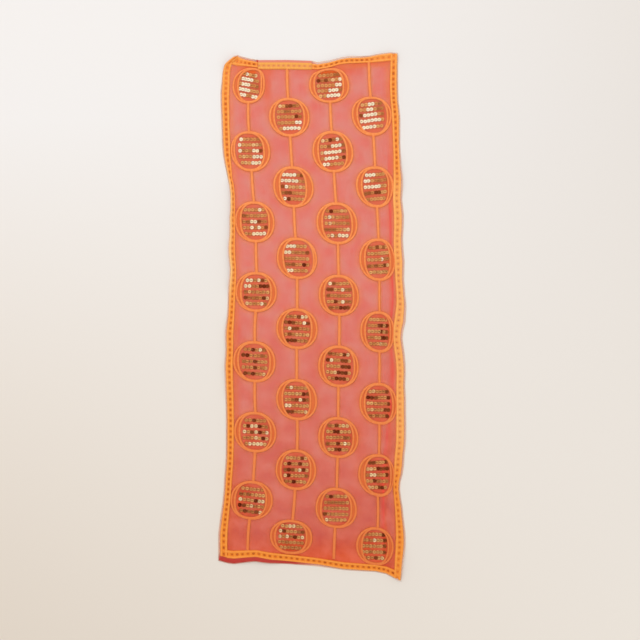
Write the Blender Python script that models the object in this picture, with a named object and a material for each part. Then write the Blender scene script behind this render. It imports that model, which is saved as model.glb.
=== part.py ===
# Small chunri of sheer net with four embroidered chains of rings and an eyelet border, laid flat on a table.
# Sizes are in millimetres until the meshes are made: X across, Y lengthwise with the top edge at +Y, Z up.
import bmesh
import bpy
import numpy as np

MM = 0.001

# Cut of the cloth, measured across from the left edge and along from the top edge
CUT_WIDTH = 164.5
CUT_LENGTH = 455.0
NET_WALL = 1.0
SEAT_GAP = 0.45

# Embroidered chains: a column of double rings joined by stems, odd and even columns half a ring pitch apart.
# The rings of the two outer columns are narrower, to lie clear of the side borders.
COLUMNS = {"chain_1": 26.0, "chain_2": 63.5, "chain_3": 101.0, "chain_4": 138.5}
RINGS_A_COLUMN = 7
RING_PITCH = 62.0
FIRST_RING = {"chain_1": 27.5, "chain_2": 58.5, "chain_3": 27.5, "chain_4": 57.6}
LAST_RING_SHIFT = 1.4
LAST_RING_LENGTH = 0.87
OUTER_RING = (17.5, 17.2)
INNER_RING = (13.5, 16.1)
RING_NARROWER = {"chain_1": 0.7, "chain_2": 0.0, "chain_3": 0.0, "chain_4": 0.7}
LINE_HALF = 1.05
CREST = 0.85
VALLEY = 0.4
STEM_HALF = 1.25
RING_STEPS = 10
RING_POINTS = 6
STEM_STEPS = 4
STEM_CLEAR = 0.5

# Eyelet border: two rails with a channel between, a little inside the edge
BORDER_WIDTH = 6.3
SIDE_MARGIN = 1.2
TOP_MARGIN = 1.6
BOTTOM_MARGIN = 2.6
RAIL = 1.2
CHANNEL_DEPTH = 0.35
BORDER_HEIGHT = 0.95
CORNER_GAP = 0.6
END_BORDER_STEP = 6.0

# Stretch of the top border that is turned over onto the face, back side up, with the net it is folded with
TURNED_FROM = 35.0
TURNED_TO = 85.5
TURNED_OUTER = 0.4
TURNED_INNER = 10.2
TURNED_SHOULDER = 0.7
TURNED_HEIGHT = 1.4
TURNED_SLOPE = 0.25

# Where the cloth lies: a row for each station along the cut. y is the middle of the row, drop how far its
# right end lies below its left, and the rest are the x of the left edge, the left border's inner edge,
# the four columns, the right border's inner edge and the right edge.
ACROSS = (0.0, 7.5, 26.0, 63.5, 101.0, 138.5, 157.0, 164.5)
SECTIONS = (
    # along,  y,    drop, edge,  inner, col_1, col_2, col_3, col_4, inner, edge
    (0.0, 224.6, 0.0, -69.6, -65.4, -54.4, -21.3, 15.2, 49.6, 68.0, 74.0),
    (9.0, 217.2, 0.3, -75.9, -69.2, -54.5, -21.2, 15.4, 49.9, 68.0, 74.3),
    (27.5, 201.1, 0.9, -78.7, -70.9, -54.6, -21.0, 15.9, 50.5, 68.0, 74.9),
    (58.5, 173.7, -2.6, -78.7, -71.2, -55.0, -19.3, 16.7, 52.6, 69.6, 76.3),
    (89.5, 143.1, 2.6, -77.0, -70.2, -53.1, -17.8, 18.6, 54.7, 71.2, 77.2),
    (120.5, 112.4, 0.9, -71.8, -68.2, -51.2, -15.8, 20.3, 56.1, 71.0, 78.2),
    (151.5, 81.3, 3.5, -71.1, -67.1, -48.7, -14.8, 22.6, 57.9, 72.2, 79.5),
    (182.5, 49.9, 3.9, -71.8, -66.7, -48.1, -12.8, 23.3, 59.1, 72.2, 79.9),
    (213.5, 18.9, 7.0, -72.6, -66.4, -47.2, -12.4, 24.1, 59.2, 74.2, 81.0),
    (244.5, -11.4, 7.8, -75.3, -68.0, -49.2, -12.8, 24.3, 59.6, 70.6, 78.2),
    (275.5, -42.4, 9.3, -75.7, -68.4, -48.9, -12.8, 23.6, 59.2, 74.6, 81.0),
    (306.5, -73.4, 9.6, -74.8, -67.7, -49.3, -12.8, 23.3, 59.1, 74.2, 81.3),
    (337.5, -104.1, 10.6, -74.4, -67.4, -48.1, -12.2, 23.1, 59.2, 73.9, 81.2),
    (368.5, -134.5, 11.3, -75.3, -68.4, -49.8, -13.3, 22.3, 58.1, 71.5, 78.4),
    (399.5, -165.0, 15.3, -77.9, -70.7, -51.6, -15.1, 21.5, 58.0, 72.9, 78.4),
    (430.5, -194.0, 16.1, -81.3, -73.3, -55.0, -17.8, 19.9, 57.0, 72.9, 80.5),
    (455.0, -217.5, 13.9, -80.5, -73.3, -55.6, -18.7, 19.1, 56.1, 71.3, 76.8),
)

# The two ends are not straight: (across, y of the edge)
TOP_EDGE = (
    (0.0, 227.7), (7.5, 227.3), (26.0, 224.4), (35.0, 222.9), (63.5, 223.0), (86.0, 222.3), (91.0, 220.8),
    (101.0, 222.1), (113.0, 224.9), (119.0, 225.8), (138.5, 226.8), (157.0, 229.2), (164.5, 228.8),
)
BOTTOM_EDGE = (
    (0.0, -212.3), (7.5, -214.5), (13.5, -215.3), (26.0, -213.4), (32.5, -212.9), (46.0, -214.5), (63.5, -215.3),
    (87.5, -217.2), (101.0, -219.1), (111.0, -220.5), (138.5, -222.1), (149.0, -224.0), (157.0, -227.3),
    (164.5, -230.1),
)
END_FADE = 26.0

# Folds and ripples: each a ridge along a line on the cut, flat on its core and easing down over its skirt
FOLDS = (
    # name, across_1, along_1, across_2, along_2, height, core, skirt
    ("top_left_curl", 0.0, 0.0, 0.0, 3.0, 4.0, 0.5, 16.0),
    ("top_right_curl", 164.5, 0.0, 150.0, 0.0, 1.6, 0.5, 13.0),
    ("top_wave", 98.0, 6.0, 120.0, 2.0, 1.3, 0.5, 13.0),
    ("left_roll", 1.0, 122.0, 1.0, 208.0, 2.2, 0.5, 10.0),
    ("left_wave", 0.0, 244.0, 2.0, 300.0, 1.0, 0.5, 12.0),
    ("right_ridge_upper", 150.5, 185.0, 149.0, 228.0, 2.0, 0.5, 11.0),
    ("right_ridge_middle", 148.5, 240.0, 148.5, 262.0, 2.8, 0.5, 12.0),
    ("right_ridge_lower", 146.5, 310.0, 146.5, 340.0, 1.8, 0.5, 12.0),
    ("right_ridge_end", 147.0, 366.0, 146.0, 384.0, 2.6, 0.5, 13.0),
    ("right_edge_wave", 162.0, 100.0, 162.0, 118.0, 1.2, 0.5, 14.0),
    ("ripple_top", 45.0, 58.0, 44.0, 128.0, 1.2, 0.5, 17.0),
    ("ripple_upper", 119.0, 84.0, 120.0, 150.0, 1.3, 0.5, 16.0),
    ("ripple_middle", 45.0, 258.0, 45.0, 330.0, 1.0, 0.5, 17.0),
    ("ripple_lower", 83.0, 300.0, 84.0, 372.0, 1.2, 0.5, 17.0),
    ("ripple_right", 120.0, 390.0, 118.0, 424.0, 1.3, 0.5, 17.0),
    ("bottom_wave", 26.0, 451.0, 44.0, 455.0, 1.2, 0.5, 14.0),
    ("bottom_right_lift", 164.5, 455.0, 160.0, 440.0, 1.8, 0.5, 13.0),
)

# Lines of the facets that the cloth is divided into
GRID_ACROSS = (
    0.0, 3.5, 7.5, 13.5, 19.5, 26.0, 33.0, 41.0, 48.5, 56.0, 63.5, 73.0, 82.0, 91.0,
    101.0, 108.5, 116.0, 123.5, 131.0, 138.5, 144.0, 149.5, 153.5, 157.0, 161.0, 164.5,
)
GRID_ALONG_STEPS = 58

# Linear colours of the coral net, the ring thread, the border thread and the border seen from its back
COLOURS = {
    "net": (0.76, 0.16, 0.13),
    "thread": (1.0, 0.30, 0.07),
    "border": (0.95, 0.28, 0.03),
    "border_back": (0.83, 0.38, 0.10),
}
NET_ROUGHNESS = 0.8
THREAD_ROUGHNESS = 0.55


def smooth_rows(along, knots, values):
    """A smooth curve through the rows: a cubic whose slope at each row is that between its two neighbours."""
    slopes = np.gradient(values, knots, axis=0)
    row = np.clip(np.searchsorted(knots, along, side="right") - 1, 0, len(knots) - 2)
    span = (knots[row + 1] - knots[row])[:, None]
    part = (along[:, None] - knots[row][:, None]) / span
    start = 2 * part**3 - 3 * part**2 + 1
    start_slope = part**3 - 2 * part**2 + part
    end_slope = part**3 - part**2
    return (
        start * values[row]
        + (1 - start) * values[row + 1]
        + span * (start_slope * slopes[row] + end_slope * slopes[row + 1])
    )


def between_columns(across, rows):
    """Each row's x at a distance across the cut, straight from one named column to the next."""
    knots = np.array(ACROSS)
    column = np.clip(np.searchsorted(knots, across, side="right") - 1, 0, len(knots) - 2)
    part = (across - knots[column]) / (knots[column + 1] - knots[column])
    picked = np.arange(len(across))
    return rows[picked, column] * (1 - part) + rows[picked, column + 1] * part


def fold_height(across, along):
    """Height of the underside above the table: the highest of the ridges there, zero away from them."""
    height = np.zeros_like(across)
    for _, u_1, v_1, u_2, v_2, rise, core, skirt in FOLDS:
        run = np.array((u_2 - u_1, v_2 - v_1))
        on_line = ((across - u_1) * run[0] + (along - v_1) * run[1]) / (run @ run)
        on_line = np.clip(on_line, 0, 1)
        away = np.hypot(across - u_1 - on_line * run[0], along - v_1 - on_line * run[1])
        ease = np.clip((away - core) / skirt, 0, 1)
        height = np.maximum(height, rise * (0.5 + 0.5 * np.cos(np.pi * ease)))
    return height


def underside(across, along):
    """Where a point of the cut lies on the table."""
    table = np.array(SECTIONS)
    rows = smooth_rows(along, table[:, 0], table[:, 1:])
    x = between_columns(across, rows[:, 2:])
    y = rows[:, 0] - rows[:, 1] * (across / CUT_WIDTH - 0.5)
    for edge, end in ((TOP_EDGE, 0.0), (BOTTOM_EDGE, CUT_LENGTH)):
        across_knots, edge_y = np.array(edge).T
        table_row = table[0 if end == 0 else -1]
        straight = table_row[1] - table_row[2] * (across / CUT_WIDTH - 0.5)
        near = np.clip(1 - np.abs(along - end) / END_FADE, 0, 1)
        y = y + near**1.5 * (np.interp(across, across_knots, edge_y) - straight)
    return np.stack((x, y, fold_height(across, along)), axis=-1)


def cloth_grid():
    """The facets' corners on the underside, their normals, and the same corners on the top side."""
    across = np.array(GRID_ACROSS)
    along = np.linspace(0, CUT_LENGTH, GRID_ALONG_STEPS + 1)
    u, v = np.meshgrid(across, along, indexing="ij")
    under = underside(u.ravel(), v.ravel()).reshape(u.shape + (3,))
    by_u = np.gradient(under, across, axis=0)
    by_v = np.gradient(under, along, axis=1)
    normal = np.cross(by_v, by_u)
    normal /= np.linalg.norm(normal, axis=-1, keepdims=True)
    return across, along, under, normal, under + NET_WALL * normal


GRID = cloth_grid()


def on_facets(field, across, along):
    """A value held at the facets' corners, read inside the triangle that the point lies in."""
    u_lines, v_lines = GRID[0], GRID[1]
    i = np.clip(np.searchsorted(u_lines, across, side="right") - 1, 0, len(u_lines) - 2)
    j = np.clip(np.searchsorted(v_lines, along, side="right") - 1, 0, len(v_lines) - 2)
    f = ((across - u_lines[i]) / (u_lines[i + 1] - u_lines[i]))[..., None]
    g = ((along - v_lines[j]) / (v_lines[j + 1] - v_lines[j]))[..., None]
    near, far = field[i, j], field[i + 1, j + 1]
    by_side = near + f * (field[i + 1, j] - near) + g * (far - field[i + 1, j])
    by_end = near + g * (field[i, j + 1] - near) + f * (far - field[i, j + 1])
    return np.where(f >= g, by_side, by_end)


def above_net(across, along, lift):
    """Points over the top side of the net, lifted off it along its normal."""
    normal = on_facets(GRID[3], across, along)
    normal = normal / np.linalg.norm(normal, axis=-1, keepdims=True)
    return on_facets(GRID[4], across, along) + np.asarray(lift)[..., None] * normal


def material(name, colour, roughness):
    made = bpy.data.materials.new(name)
    made.use_nodes = True
    shader = made.node_tree.nodes["Principled BSDF"]
    shader.inputs["Base Color"].default_value = (*colour, 1.0)
    shader.inputs["Roughness"].default_value = roughness
    shader.inputs["Metallic"].default_value = 0.0
    made.diffuse_color = (*colour, 1.0)
    return made


def add_solid(name, points, faces, colour, roughness=THREAD_ROUGHNESS):
    mesh = bpy.data.meshes.new(name)
    mesh.from_pydata((np.asarray(points) * MM).tolist(), [], faces)
    shape = bmesh.new()
    shape.from_mesh(mesh)
    bmesh.ops.recalc_face_normals(shape, faces=shape.faces[:])
    shape.to_mesh(mesh)
    shape.free()
    obj = bpy.data.objects.new(name, mesh)
    obj.data.materials.append(material(name, COLOURS[colour], roughness))
    bpy.context.scene.collection.objects.link(obj)


def rings_of_points(sections):
    """Faces of a bar whose sections have the same number of points, closed by a cap at each end."""
    count, size = len(sections), len(sections[0])
    faces = []
    for k in range(count - 1):
        for p in range(size):
            q = (p + 1) % size
            faces.append((k * size + p, k * size + q, (k + 1) * size + q, (k + 1) * size + p))
    faces.append(tuple(range(size)))
    faces.append(tuple((count - 1) * size + p for p in reversed(range(size))))
    return faces


def add_net():
    _, _, under, _, top = GRID
    count_u, count_v = under.shape[:2]
    corner = np.arange(count_u * count_v).reshape(count_u, count_v)
    upper = corner + corner.size
    faces = []
    for i in range(count_u - 1):
        for j in range(count_v - 1):
            for sheet in (corner, upper):
                a, b, c, d = sheet[i, j], sheet[i + 1, j], sheet[i + 1, j + 1], sheet[i, j + 1]
                faces += [(a, b, c), (a, c, d)]
    rim = np.concatenate((corner[:-1, 0], corner[-1, :-1], corner[:0:-1, -1], corner[0, :0:-1]))
    for here, following in zip(rim, np.roll(rim, -1)):
        faces.append((here, following, following + corner.size, here + corner.size))
    points = np.concatenate((under.reshape(-1, 3), top.reshape(-1, 3)))
    add_solid("net_panel", points, [tuple(int(p) for p in face) for face in faces], "net", NET_ROUGHNESS)


def border_section(outer, inner):
    """Distances across a border and their lifts: outer foot, rail, channel, rail, inner foot, and back below."""
    width = inner - outer
    across = outer + width * np.array((0.0, RAIL / BORDER_WIDTH, 0.5, 1 - RAIL / BORDER_WIDTH, 1.0, 0.5))
    crest = SEAT_GAP + BORDER_HEIGHT
    lift = np.array((SEAT_GAP, crest, crest - CHANNEL_DEPTH, crest, SEAT_GAP, SEAT_GAP))
    return across, lift


def add_side_border(name, outer, inner):
    along = np.linspace(TOP_MARGIN, CUT_LENGTH - BOTTOM_MARGIN, GRID_ALONG_STEPS + 1)
    across, lift = border_section(outer, inner)
    sections = [above_net(across, np.full_like(across, v), lift) for v in along]
    add_solid(name, np.concatenate(sections), rings_of_points(sections), "border")


def add_end_border(name, start, end, outer, inner):
    steps = int(np.ceil((end - start) / END_BORDER_STEP))
    along, lift = border_section(outer, inner)
    sections = [above_net(np.full_like(along, u), along, lift) for u in np.linspace(start, end, steps + 1)]
    add_solid(name, np.concatenate(sections), rings_of_points(sections), "border")


def add_turned_border():
    """A doubled strip on the face: it swells from the folded edge and thins towards its inner edge."""
    middle = (TURNED_OUTER + TURNED_INNER) / 2
    along = np.array((TURNED_OUTER, TURNED_OUTER + TURNED_SHOULDER, middle, TURNED_INNER - TURNED_SHOULDER,
                      TURNED_INNER, middle))
    crest = SEAT_GAP + TURNED_HEIGHT
    lift = np.array((SEAT_GAP, crest - TURNED_SLOPE, crest, crest - 2 * TURNED_SLOPE, SEAT_GAP, SEAT_GAP))
    steps = int(np.ceil((TURNED_TO - TURNED_FROM) / END_BORDER_STEP))
    across = np.linspace(TURNED_FROM, TURNED_TO, steps + 1)
    sections = [above_net(np.full_like(along, u), along, lift) for u in across]
    add_solid("border_top_turned", np.concatenate(sections), rings_of_points(sections), "border_back")


def ring_angles():
    """Angles round a ring from its top: a narrow step where the stem meets it above and below, even steps between."""
    narrow = np.arcsin(STEM_HALF / (OUTER_RING[1] + LINE_HALF))
    right = np.linspace(narrow, np.pi - narrow, RING_STEPS + 1)
    return np.concatenate((right, right + np.pi))


def ring_section(angle, column, centre, length, narrower):
    """Outer foot, outer crest, valley, inner crest and inner foot of the double ring at one angle, and back below."""
    outer, inner = np.array(OUTER_RING), np.array(INNER_RING)
    outer[0] -= narrower
    inner[0] -= narrower
    middle = (outer + inner) / 2
    radii = np.stack((outer + LINE_HALF, outer, middle, inner, inner - LINE_HALF, middle))
    foot = SEAT_GAP
    lift = np.array((foot, foot + CREST, foot + VALLEY, foot + CREST, foot, foot))
    across = column + radii[:, 0] * np.sin(angle)
    along = centre - length * radii[:, 1] * np.cos(angle)
    return above_net(across, along, lift)


def stem_points(column, start, end):
    """Sections of a stem: left foot, crest and right foot, from one distance along the cut to another."""
    across = column + np.array((-STEM_HALF, 0.0, STEM_HALF))
    lift = np.array((SEAT_GAP, SEAT_GAP + CREST, SEAT_GAP))
    return [above_net(across, np.full(3, v), lift) for v in np.linspace(start, end, STEM_STEPS + 1)]


def add_chain(name, column):
    """One column of rings and stems as a single body: each stem shares the narrow outer edge of the rings it meets."""
    first = FIRST_RING[name]
    starts_with_stem = first > RING_PITCH / 2
    radii = np.full(RINGS_A_COLUMN, OUTER_RING[1] + LINE_HALF)
    centres = first + RING_PITCH * np.arange(RINGS_A_COLUMN)
    if starts_with_stem:
        centres[-1] -= LAST_RING_SHIFT
        radii[-1] *= LAST_RING_LENGTH
    angles = ring_angles()
    turns = len(angles)
    top_left, top_right = turns - 1, 0
    bottom_right, bottom_left = RING_STEPS, RING_STEPS + 1
    points, faces = [], []

    def add_stem(start, end, ring_above, ring_below):
        """ring_above and ring_below are the first point number of the ring that the stem meets, or None."""
        sections = stem_points(column, start, end)
        numbers = []
        for k, section in enumerate(sections):
            at_above = k == 0 and ring_above is not None
            at_below = k == STEM_STEPS and ring_below is not None
            if at_above:
                left, right = ring_above + bottom_left * RING_POINTS, ring_above + bottom_right * RING_POINTS
            elif at_below:
                left, right = ring_below + top_left * RING_POINTS, ring_below + top_right * RING_POINTS
            else:
                left, right = len(points), len(points) + 1
                points.extend((section[0], section[2]))
            points.append(section[1])
            numbers.append((left, len(points) - 1, right))
            crest = len(points) - 1
            if at_above or at_below:
                faces.extend(((left, crest, left + 1), (right, right + 1, crest), (left + 1, crest, right + 1)))
        for here, following in zip(numbers, numbers[1:]):
            for p in range(3):
                q = (p + 1) % 3
                faces.append((here[p], here[q], following[q], following[p]))
        if ring_above is None:
            faces.append(numbers[0])
        if ring_below is None:
            faces.append(numbers[-1][::-1])

    starts = []
    for k, centre in enumerate(centres):
        starts.append(len(points))
        for angle in angles:
            points.extend(ring_section(angle, column, centre, radii[k] / radii[0], RING_NARROWER[name]))
        open_top = k > 0 or starts_with_stem
        open_bottom = k < RINGS_A_COLUMN - 1 or not starts_with_stem
        for t in range(turns):
            here = starts[-1] + RING_POINTS * t
            following = starts[-1] + RING_POINTS * ((t + 1) % turns)
            for p in range(RING_POINTS):
                q = (p + 1) % RING_POINTS
                meets_stem = (t == top_left and open_top) or (t == bottom_right and open_bottom)
                if p == 0 and meets_stem:
                    continue
                faces.append((here + p, here + q, following + q, following + p))

    if starts_with_stem:
        under_turned = TURNED_FROM < column < TURNED_TO
        border_inner = TURNED_INNER if under_turned else TOP_MARGIN + BORDER_WIDTH
        add_stem(border_inner + STEM_CLEAR, centres[0] - radii[0], None, starts[0])
    for k in range(RINGS_A_COLUMN - 1):
        add_stem(centres[k] + radii[k], centres[k + 1] - radii[k + 1], starts[k], starts[k + 1])
    if not starts_with_stem:
        end = CUT_LENGTH - BOTTOM_MARGIN - BORDER_WIDTH - STEM_CLEAR
        add_stem(centres[-1] + radii[-1], end, starts[-1], None)
    add_solid(name, np.array(points), [tuple(int(p) for p in face) for face in faces], "thread")


for leftover in list(bpy.data.objects):
    bpy.data.objects.remove(leftover, do_unlink=True)

add_net()
add_side_border("border_left", SIDE_MARGIN, SIDE_MARGIN + BORDER_WIDTH)
add_side_border("border_right", CUT_WIDTH - SIDE_MARGIN, CUT_WIDTH - SIDE_MARGIN - BORDER_WIDTH)
field_from = SIDE_MARGIN + BORDER_WIDTH + CORNER_GAP
field_to = CUT_WIDTH - field_from
add_end_border("border_top_left", field_from, TURNED_FROM - CORNER_GAP, TOP_MARGIN, TOP_MARGIN + BORDER_WIDTH)
add_end_border("border_top_right", TURNED_TO + CORNER_GAP, field_to, TOP_MARGIN, TOP_MARGIN + BORDER_WIDTH)
bottom_outer = CUT_LENGTH - BOTTOM_MARGIN
add_end_border("border_bottom", field_from, field_to, bottom_outer, bottom_outer - BORDER_WIDTH)
add_turned_border()
for chain, column in COLUMNS.items():
    add_chain(chain, column)
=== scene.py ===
# %% [markdown]
# # A small chunri laid flat
#
# A chunri is a thin veil. This one is a strip of coral organza about 16 by 46 cm, with an orange eyelet
# border and four chains of embroidered rings that are filled with cup sequins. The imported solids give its
# outline, its folds and where each trim lies. This lesson dresses them: every piece is a surface that numpy
# works out on the same lie of the cloth, and every finish is built from nodes.

import bpy
import numpy as np
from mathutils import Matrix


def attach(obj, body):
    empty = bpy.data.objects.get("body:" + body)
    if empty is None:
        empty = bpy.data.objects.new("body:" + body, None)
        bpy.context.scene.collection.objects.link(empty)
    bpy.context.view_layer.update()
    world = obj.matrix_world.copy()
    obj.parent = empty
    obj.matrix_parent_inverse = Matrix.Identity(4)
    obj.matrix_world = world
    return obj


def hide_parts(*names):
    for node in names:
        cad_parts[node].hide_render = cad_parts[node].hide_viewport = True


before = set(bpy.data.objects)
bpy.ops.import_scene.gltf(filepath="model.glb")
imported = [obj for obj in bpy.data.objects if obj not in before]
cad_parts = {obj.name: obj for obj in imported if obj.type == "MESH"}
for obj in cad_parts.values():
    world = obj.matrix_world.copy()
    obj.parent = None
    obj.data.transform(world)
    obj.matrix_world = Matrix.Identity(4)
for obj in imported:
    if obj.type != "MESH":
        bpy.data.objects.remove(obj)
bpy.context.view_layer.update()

MM = 0.001

# %% [markdown]
# ## The camera
#
# The photograph looks straight down at the cloth. A longer lens from higher up would flatten the curls at
# the corners, and a wide one would lean them outwards, so a 50 mm lens is a fair middle. Its height follows
# from the width of table that the picture takes in.

# %% Place the camera
VIEW_WIDTH = 0.5568
VIEW_CENTRE = (0.0074, -0.00305)
LENS, SENSOR = 50.0, 36.0

camera_data = bpy.data.cameras.new("camera")
camera_data.lens = LENS
camera_data.sensor_width = SENSOR
camera = bpy.data.objects.new("camera", camera_data)
camera.location = (*VIEW_CENTRE, VIEW_WIDTH * LENS / SENSOR)
bpy.context.scene.collection.objects.link(camera)
bpy.context.scene.camera = camera
bpy.context.scene.view_settings.view_transform = "Standard"
print("camera height in m:", round(camera.location.z, 3))

# %% [markdown]
# ## Helpers for finishes
#
# Colours are picked as sRGB hex, as on a colour card, but Blender mixes light in linear values, so
# one function turns them. Another adds a node, fills in its settings and joins its inputs, which keeps
# each finish below down to a few readable lines.

# %% Colour and node helpers
def linear(code):
    """sRGB hex to linear: each channel plus 0.055, over 1.055, to the power 2.4, or over 12.92 where it is dark."""
    channels = np.array([int(code[k:k + 2], 16) for k in (1, 3, 5)]) / 255
    return (*np.where(channels <= 0.04045, channels / 12.92, ((channels + 0.055) / 1.055) ** 2.4).tolist(), 1.0)


def set_inputs(tree, node, inputs):
    """Inputs of a node, given by name or number: another node or its socket is linked, a value is set."""
    for key, value in inputs.items():
        if isinstance(value, bpy.types.Node):
            tree.links.new(value.outputs[0], node.inputs[key])
        elif isinstance(value, bpy.types.NodeSocket):
            tree.links.new(value, node.inputs[key])
        else:
            node.inputs[key].default_value = value


def add_node(tree, kind, inputs=None, steps=(), **settings):
    """A node of that kind, with its settings and inputs, and the steps (position, hex) where it is a ramp."""
    made = tree.nodes.new(kind)
    for name, value in settings.items():
        setattr(made, name, value)
    set_inputs(tree, made, inputs or {})
    if steps:
        elements = made.color_ramp.elements
        while len(elements) < len(steps):
            elements.new(0.5)
        for element, (position, code) in zip(elements, steps):
            element.position, element.color = position, linear(code)
    return made


def start_finish(name, roughness, metallic=0.0, sheen=0.0, gloss=0.5):
    """A new material, its node tree and its shader, with the numbers that are the same all over it."""
    made = bpy.data.materials.new(name)
    made.use_nodes = True
    shader = made.node_tree.nodes["Principled BSDF"]
    set_inputs(made.node_tree, shader, {"Roughness": roughness, "Metallic": metallic, "Sheen Weight": sheen,
                                        "Specular IOR Level": gloss})
    return made, made.node_tree, shader


print("mid grey in linear:", round(linear("#808080")[0], 3))

# %% [markdown]
# ## Where the cloth lies
#
# The cloth is measured on its cut: a distance across from the left edge and a distance along from the top
# edge, both in millimetres. A short table says where eight places across each row lie on the table, and
# ridges lift it where it curls. The same tables made the solids, so whatever is placed by its cut
# distances lands where the solids are. Draping a flat mesh by simulation would also give folds, but not
# the folds of this photograph.

# %% Tables of the lie
CUT_WIDTH = 164.5
CUT_LENGTH = 455.0

ACROSS = np.array((0.0, 7.5, 26.0, 63.5, 101.0, 138.5, 157.0, 164.5))
SECTIONS = np.array((
    # along,  y,    drop, edge,  inner, col_1, col_2, col_3, col_4, inner, edge
    (0.0, 224.6, 0.0, -69.6, -65.4, -54.4, -21.3, 15.2, 49.6, 68.0, 74.0),
    (9.0, 217.2, 0.3, -75.9, -69.2, -54.5, -21.2, 15.4, 49.9, 68.0, 74.3),
    (27.5, 201.1, 0.9, -78.7, -70.9, -54.6, -21.0, 15.9, 50.5, 68.0, 74.9),
    (58.5, 173.7, -2.6, -78.7, -71.2, -55.0, -19.3, 16.7, 52.6, 69.6, 76.3),
    (89.5, 143.1, 2.6, -77.0, -70.2, -53.1, -17.8, 18.6, 54.7, 71.2, 77.2),
    (120.5, 112.4, 0.9, -71.8, -68.2, -51.2, -15.8, 20.3, 56.1, 71.0, 78.2),
    (151.5, 81.3, 3.5, -71.1, -67.1, -48.7, -14.8, 22.6, 57.9, 72.2, 79.5),
    (182.5, 49.9, 3.9, -71.8, -66.7, -48.1, -12.8, 23.3, 59.1, 72.2, 79.9),
    (213.5, 18.9, 7.0, -72.6, -66.4, -47.2, -12.4, 24.1, 59.2, 74.2, 81.0),
    (244.5, -11.4, 7.8, -75.3, -68.0, -49.2, -12.8, 24.3, 59.6, 70.6, 78.2),
    (275.5, -42.4, 9.3, -75.7, -68.4, -48.9, -12.8, 23.6, 59.2, 74.6, 81.0),
    (306.5, -73.4, 9.6, -74.8, -67.7, -49.3, -12.8, 23.3, 59.1, 74.2, 81.3),
    (337.5, -104.1, 10.6, -74.4, -67.4, -48.1, -12.2, 23.1, 59.2, 73.9, 81.2),
    (368.5, -134.5, 11.3, -75.3, -68.4, -49.8, -13.3, 22.3, 58.1, 71.5, 78.4),
    (399.5, -165.0, 15.3, -77.9, -70.7, -51.6, -15.1, 21.5, 58.0, 72.9, 78.4),
    (430.5, -194.0, 16.1, -81.3, -73.3, -55.0, -17.8, 19.9, 57.0, 72.9, 80.5),
    (455.0, -217.5, 13.9, -80.5, -73.3, -55.6, -18.7, 19.1, 56.1, 71.3, 76.8),
))
TOP_EDGE = (
    (0.0, 227.7), (7.5, 227.3), (26.0, 224.4), (35.0, 222.9), (63.5, 223.0), (86.0, 222.3), (91.0, 220.8),
    (101.0, 222.1), (113.0, 224.9), (119.0, 225.8), (138.5, 226.8), (157.0, 229.2), (164.5, 228.8),
)
BOTTOM_EDGE = (
    (0.0, -212.3), (7.5, -214.5), (13.5, -215.3), (26.0, -213.4), (32.5, -212.9), (46.0, -214.5), (63.5, -215.3),
    (87.5, -217.2), (101.0, -219.1), (111.0, -220.5), (138.5, -222.1), (149.0, -224.0), (157.0, -227.3),
    (164.5, -230.1),
)
END_FADE = 26.0
FOLD_CORE = 0.5
FOLDS = (
    # across_1, along_1, across_2, along_2, height, skirt
    (0.0, 0.0, 0.0, 3.0, 4.0, 16.0),
    (164.5, 0.0, 150.0, 0.0, 1.6, 13.0),
    (98.0, 6.0, 120.0, 2.0, 1.3, 13.0),
    (1.0, 122.0, 1.0, 208.0, 2.2, 10.0),
    (0.0, 244.0, 2.0, 300.0, 1.0, 12.0),
    (150.5, 185.0, 149.0, 228.0, 2.0, 11.0),
    (148.5, 240.0, 148.5, 262.0, 2.8, 12.0),
    (146.5, 310.0, 146.5, 340.0, 1.8, 12.0),
    (147.0, 366.0, 146.0, 384.0, 2.6, 13.0),
    (162.0, 100.0, 162.0, 118.0, 1.2, 14.0),
    (45.0, 58.0, 44.0, 128.0, 1.2, 17.0),
    (119.0, 84.0, 120.0, 150.0, 1.3, 16.0),
    (45.0, 258.0, 45.0, 330.0, 1.0, 17.0),
    (83.0, 300.0, 84.0, 372.0, 1.2, 17.0),
    (120.0, 390.0, 118.0, 424.0, 1.3, 17.0),
    (26.0, 451.0, 44.0, 455.0, 1.2, 14.0),
    (164.5, 455.0, 160.0, 440.0, 1.8, 13.0),
)
CORNER_PULL, CORNER_REACH = 2.2, 9.0
EDGE_WAVE_REACH = 12.0
LEFT_WAVE = (
    # along, how far the left edge lies further right there
    (0.0, 1.2), (17.0, 0.7), (34.0, 0.0), (70.0, 0.3), (93.0, -0.4), (100.0, -0.5), (114.0, -0.1), (120.0, 0.6),
    (127.0, 1.0), (142.0, 0.7), (149.0, 0.0), (163.0, 0.2), (171.0, -0.6), (178.0, -0.6), (186.0, 0.3), (193.0, 1.2),
    (200.0, 0.9), (208.0, 0.3), (216.0, 0.1), (230.0, 1.0), (237.0, 1.3), (251.0, 0.4), (265.0, 1.0), (272.0, 0.7),
    (280.0, 0.0), (344.0, 0.0), (365.0, 0.4), (380.0, 0.3), (394.0, 0.9), (424.0, 1.0), (432.0, 0.4), (455.0, -0.5),
)
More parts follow.
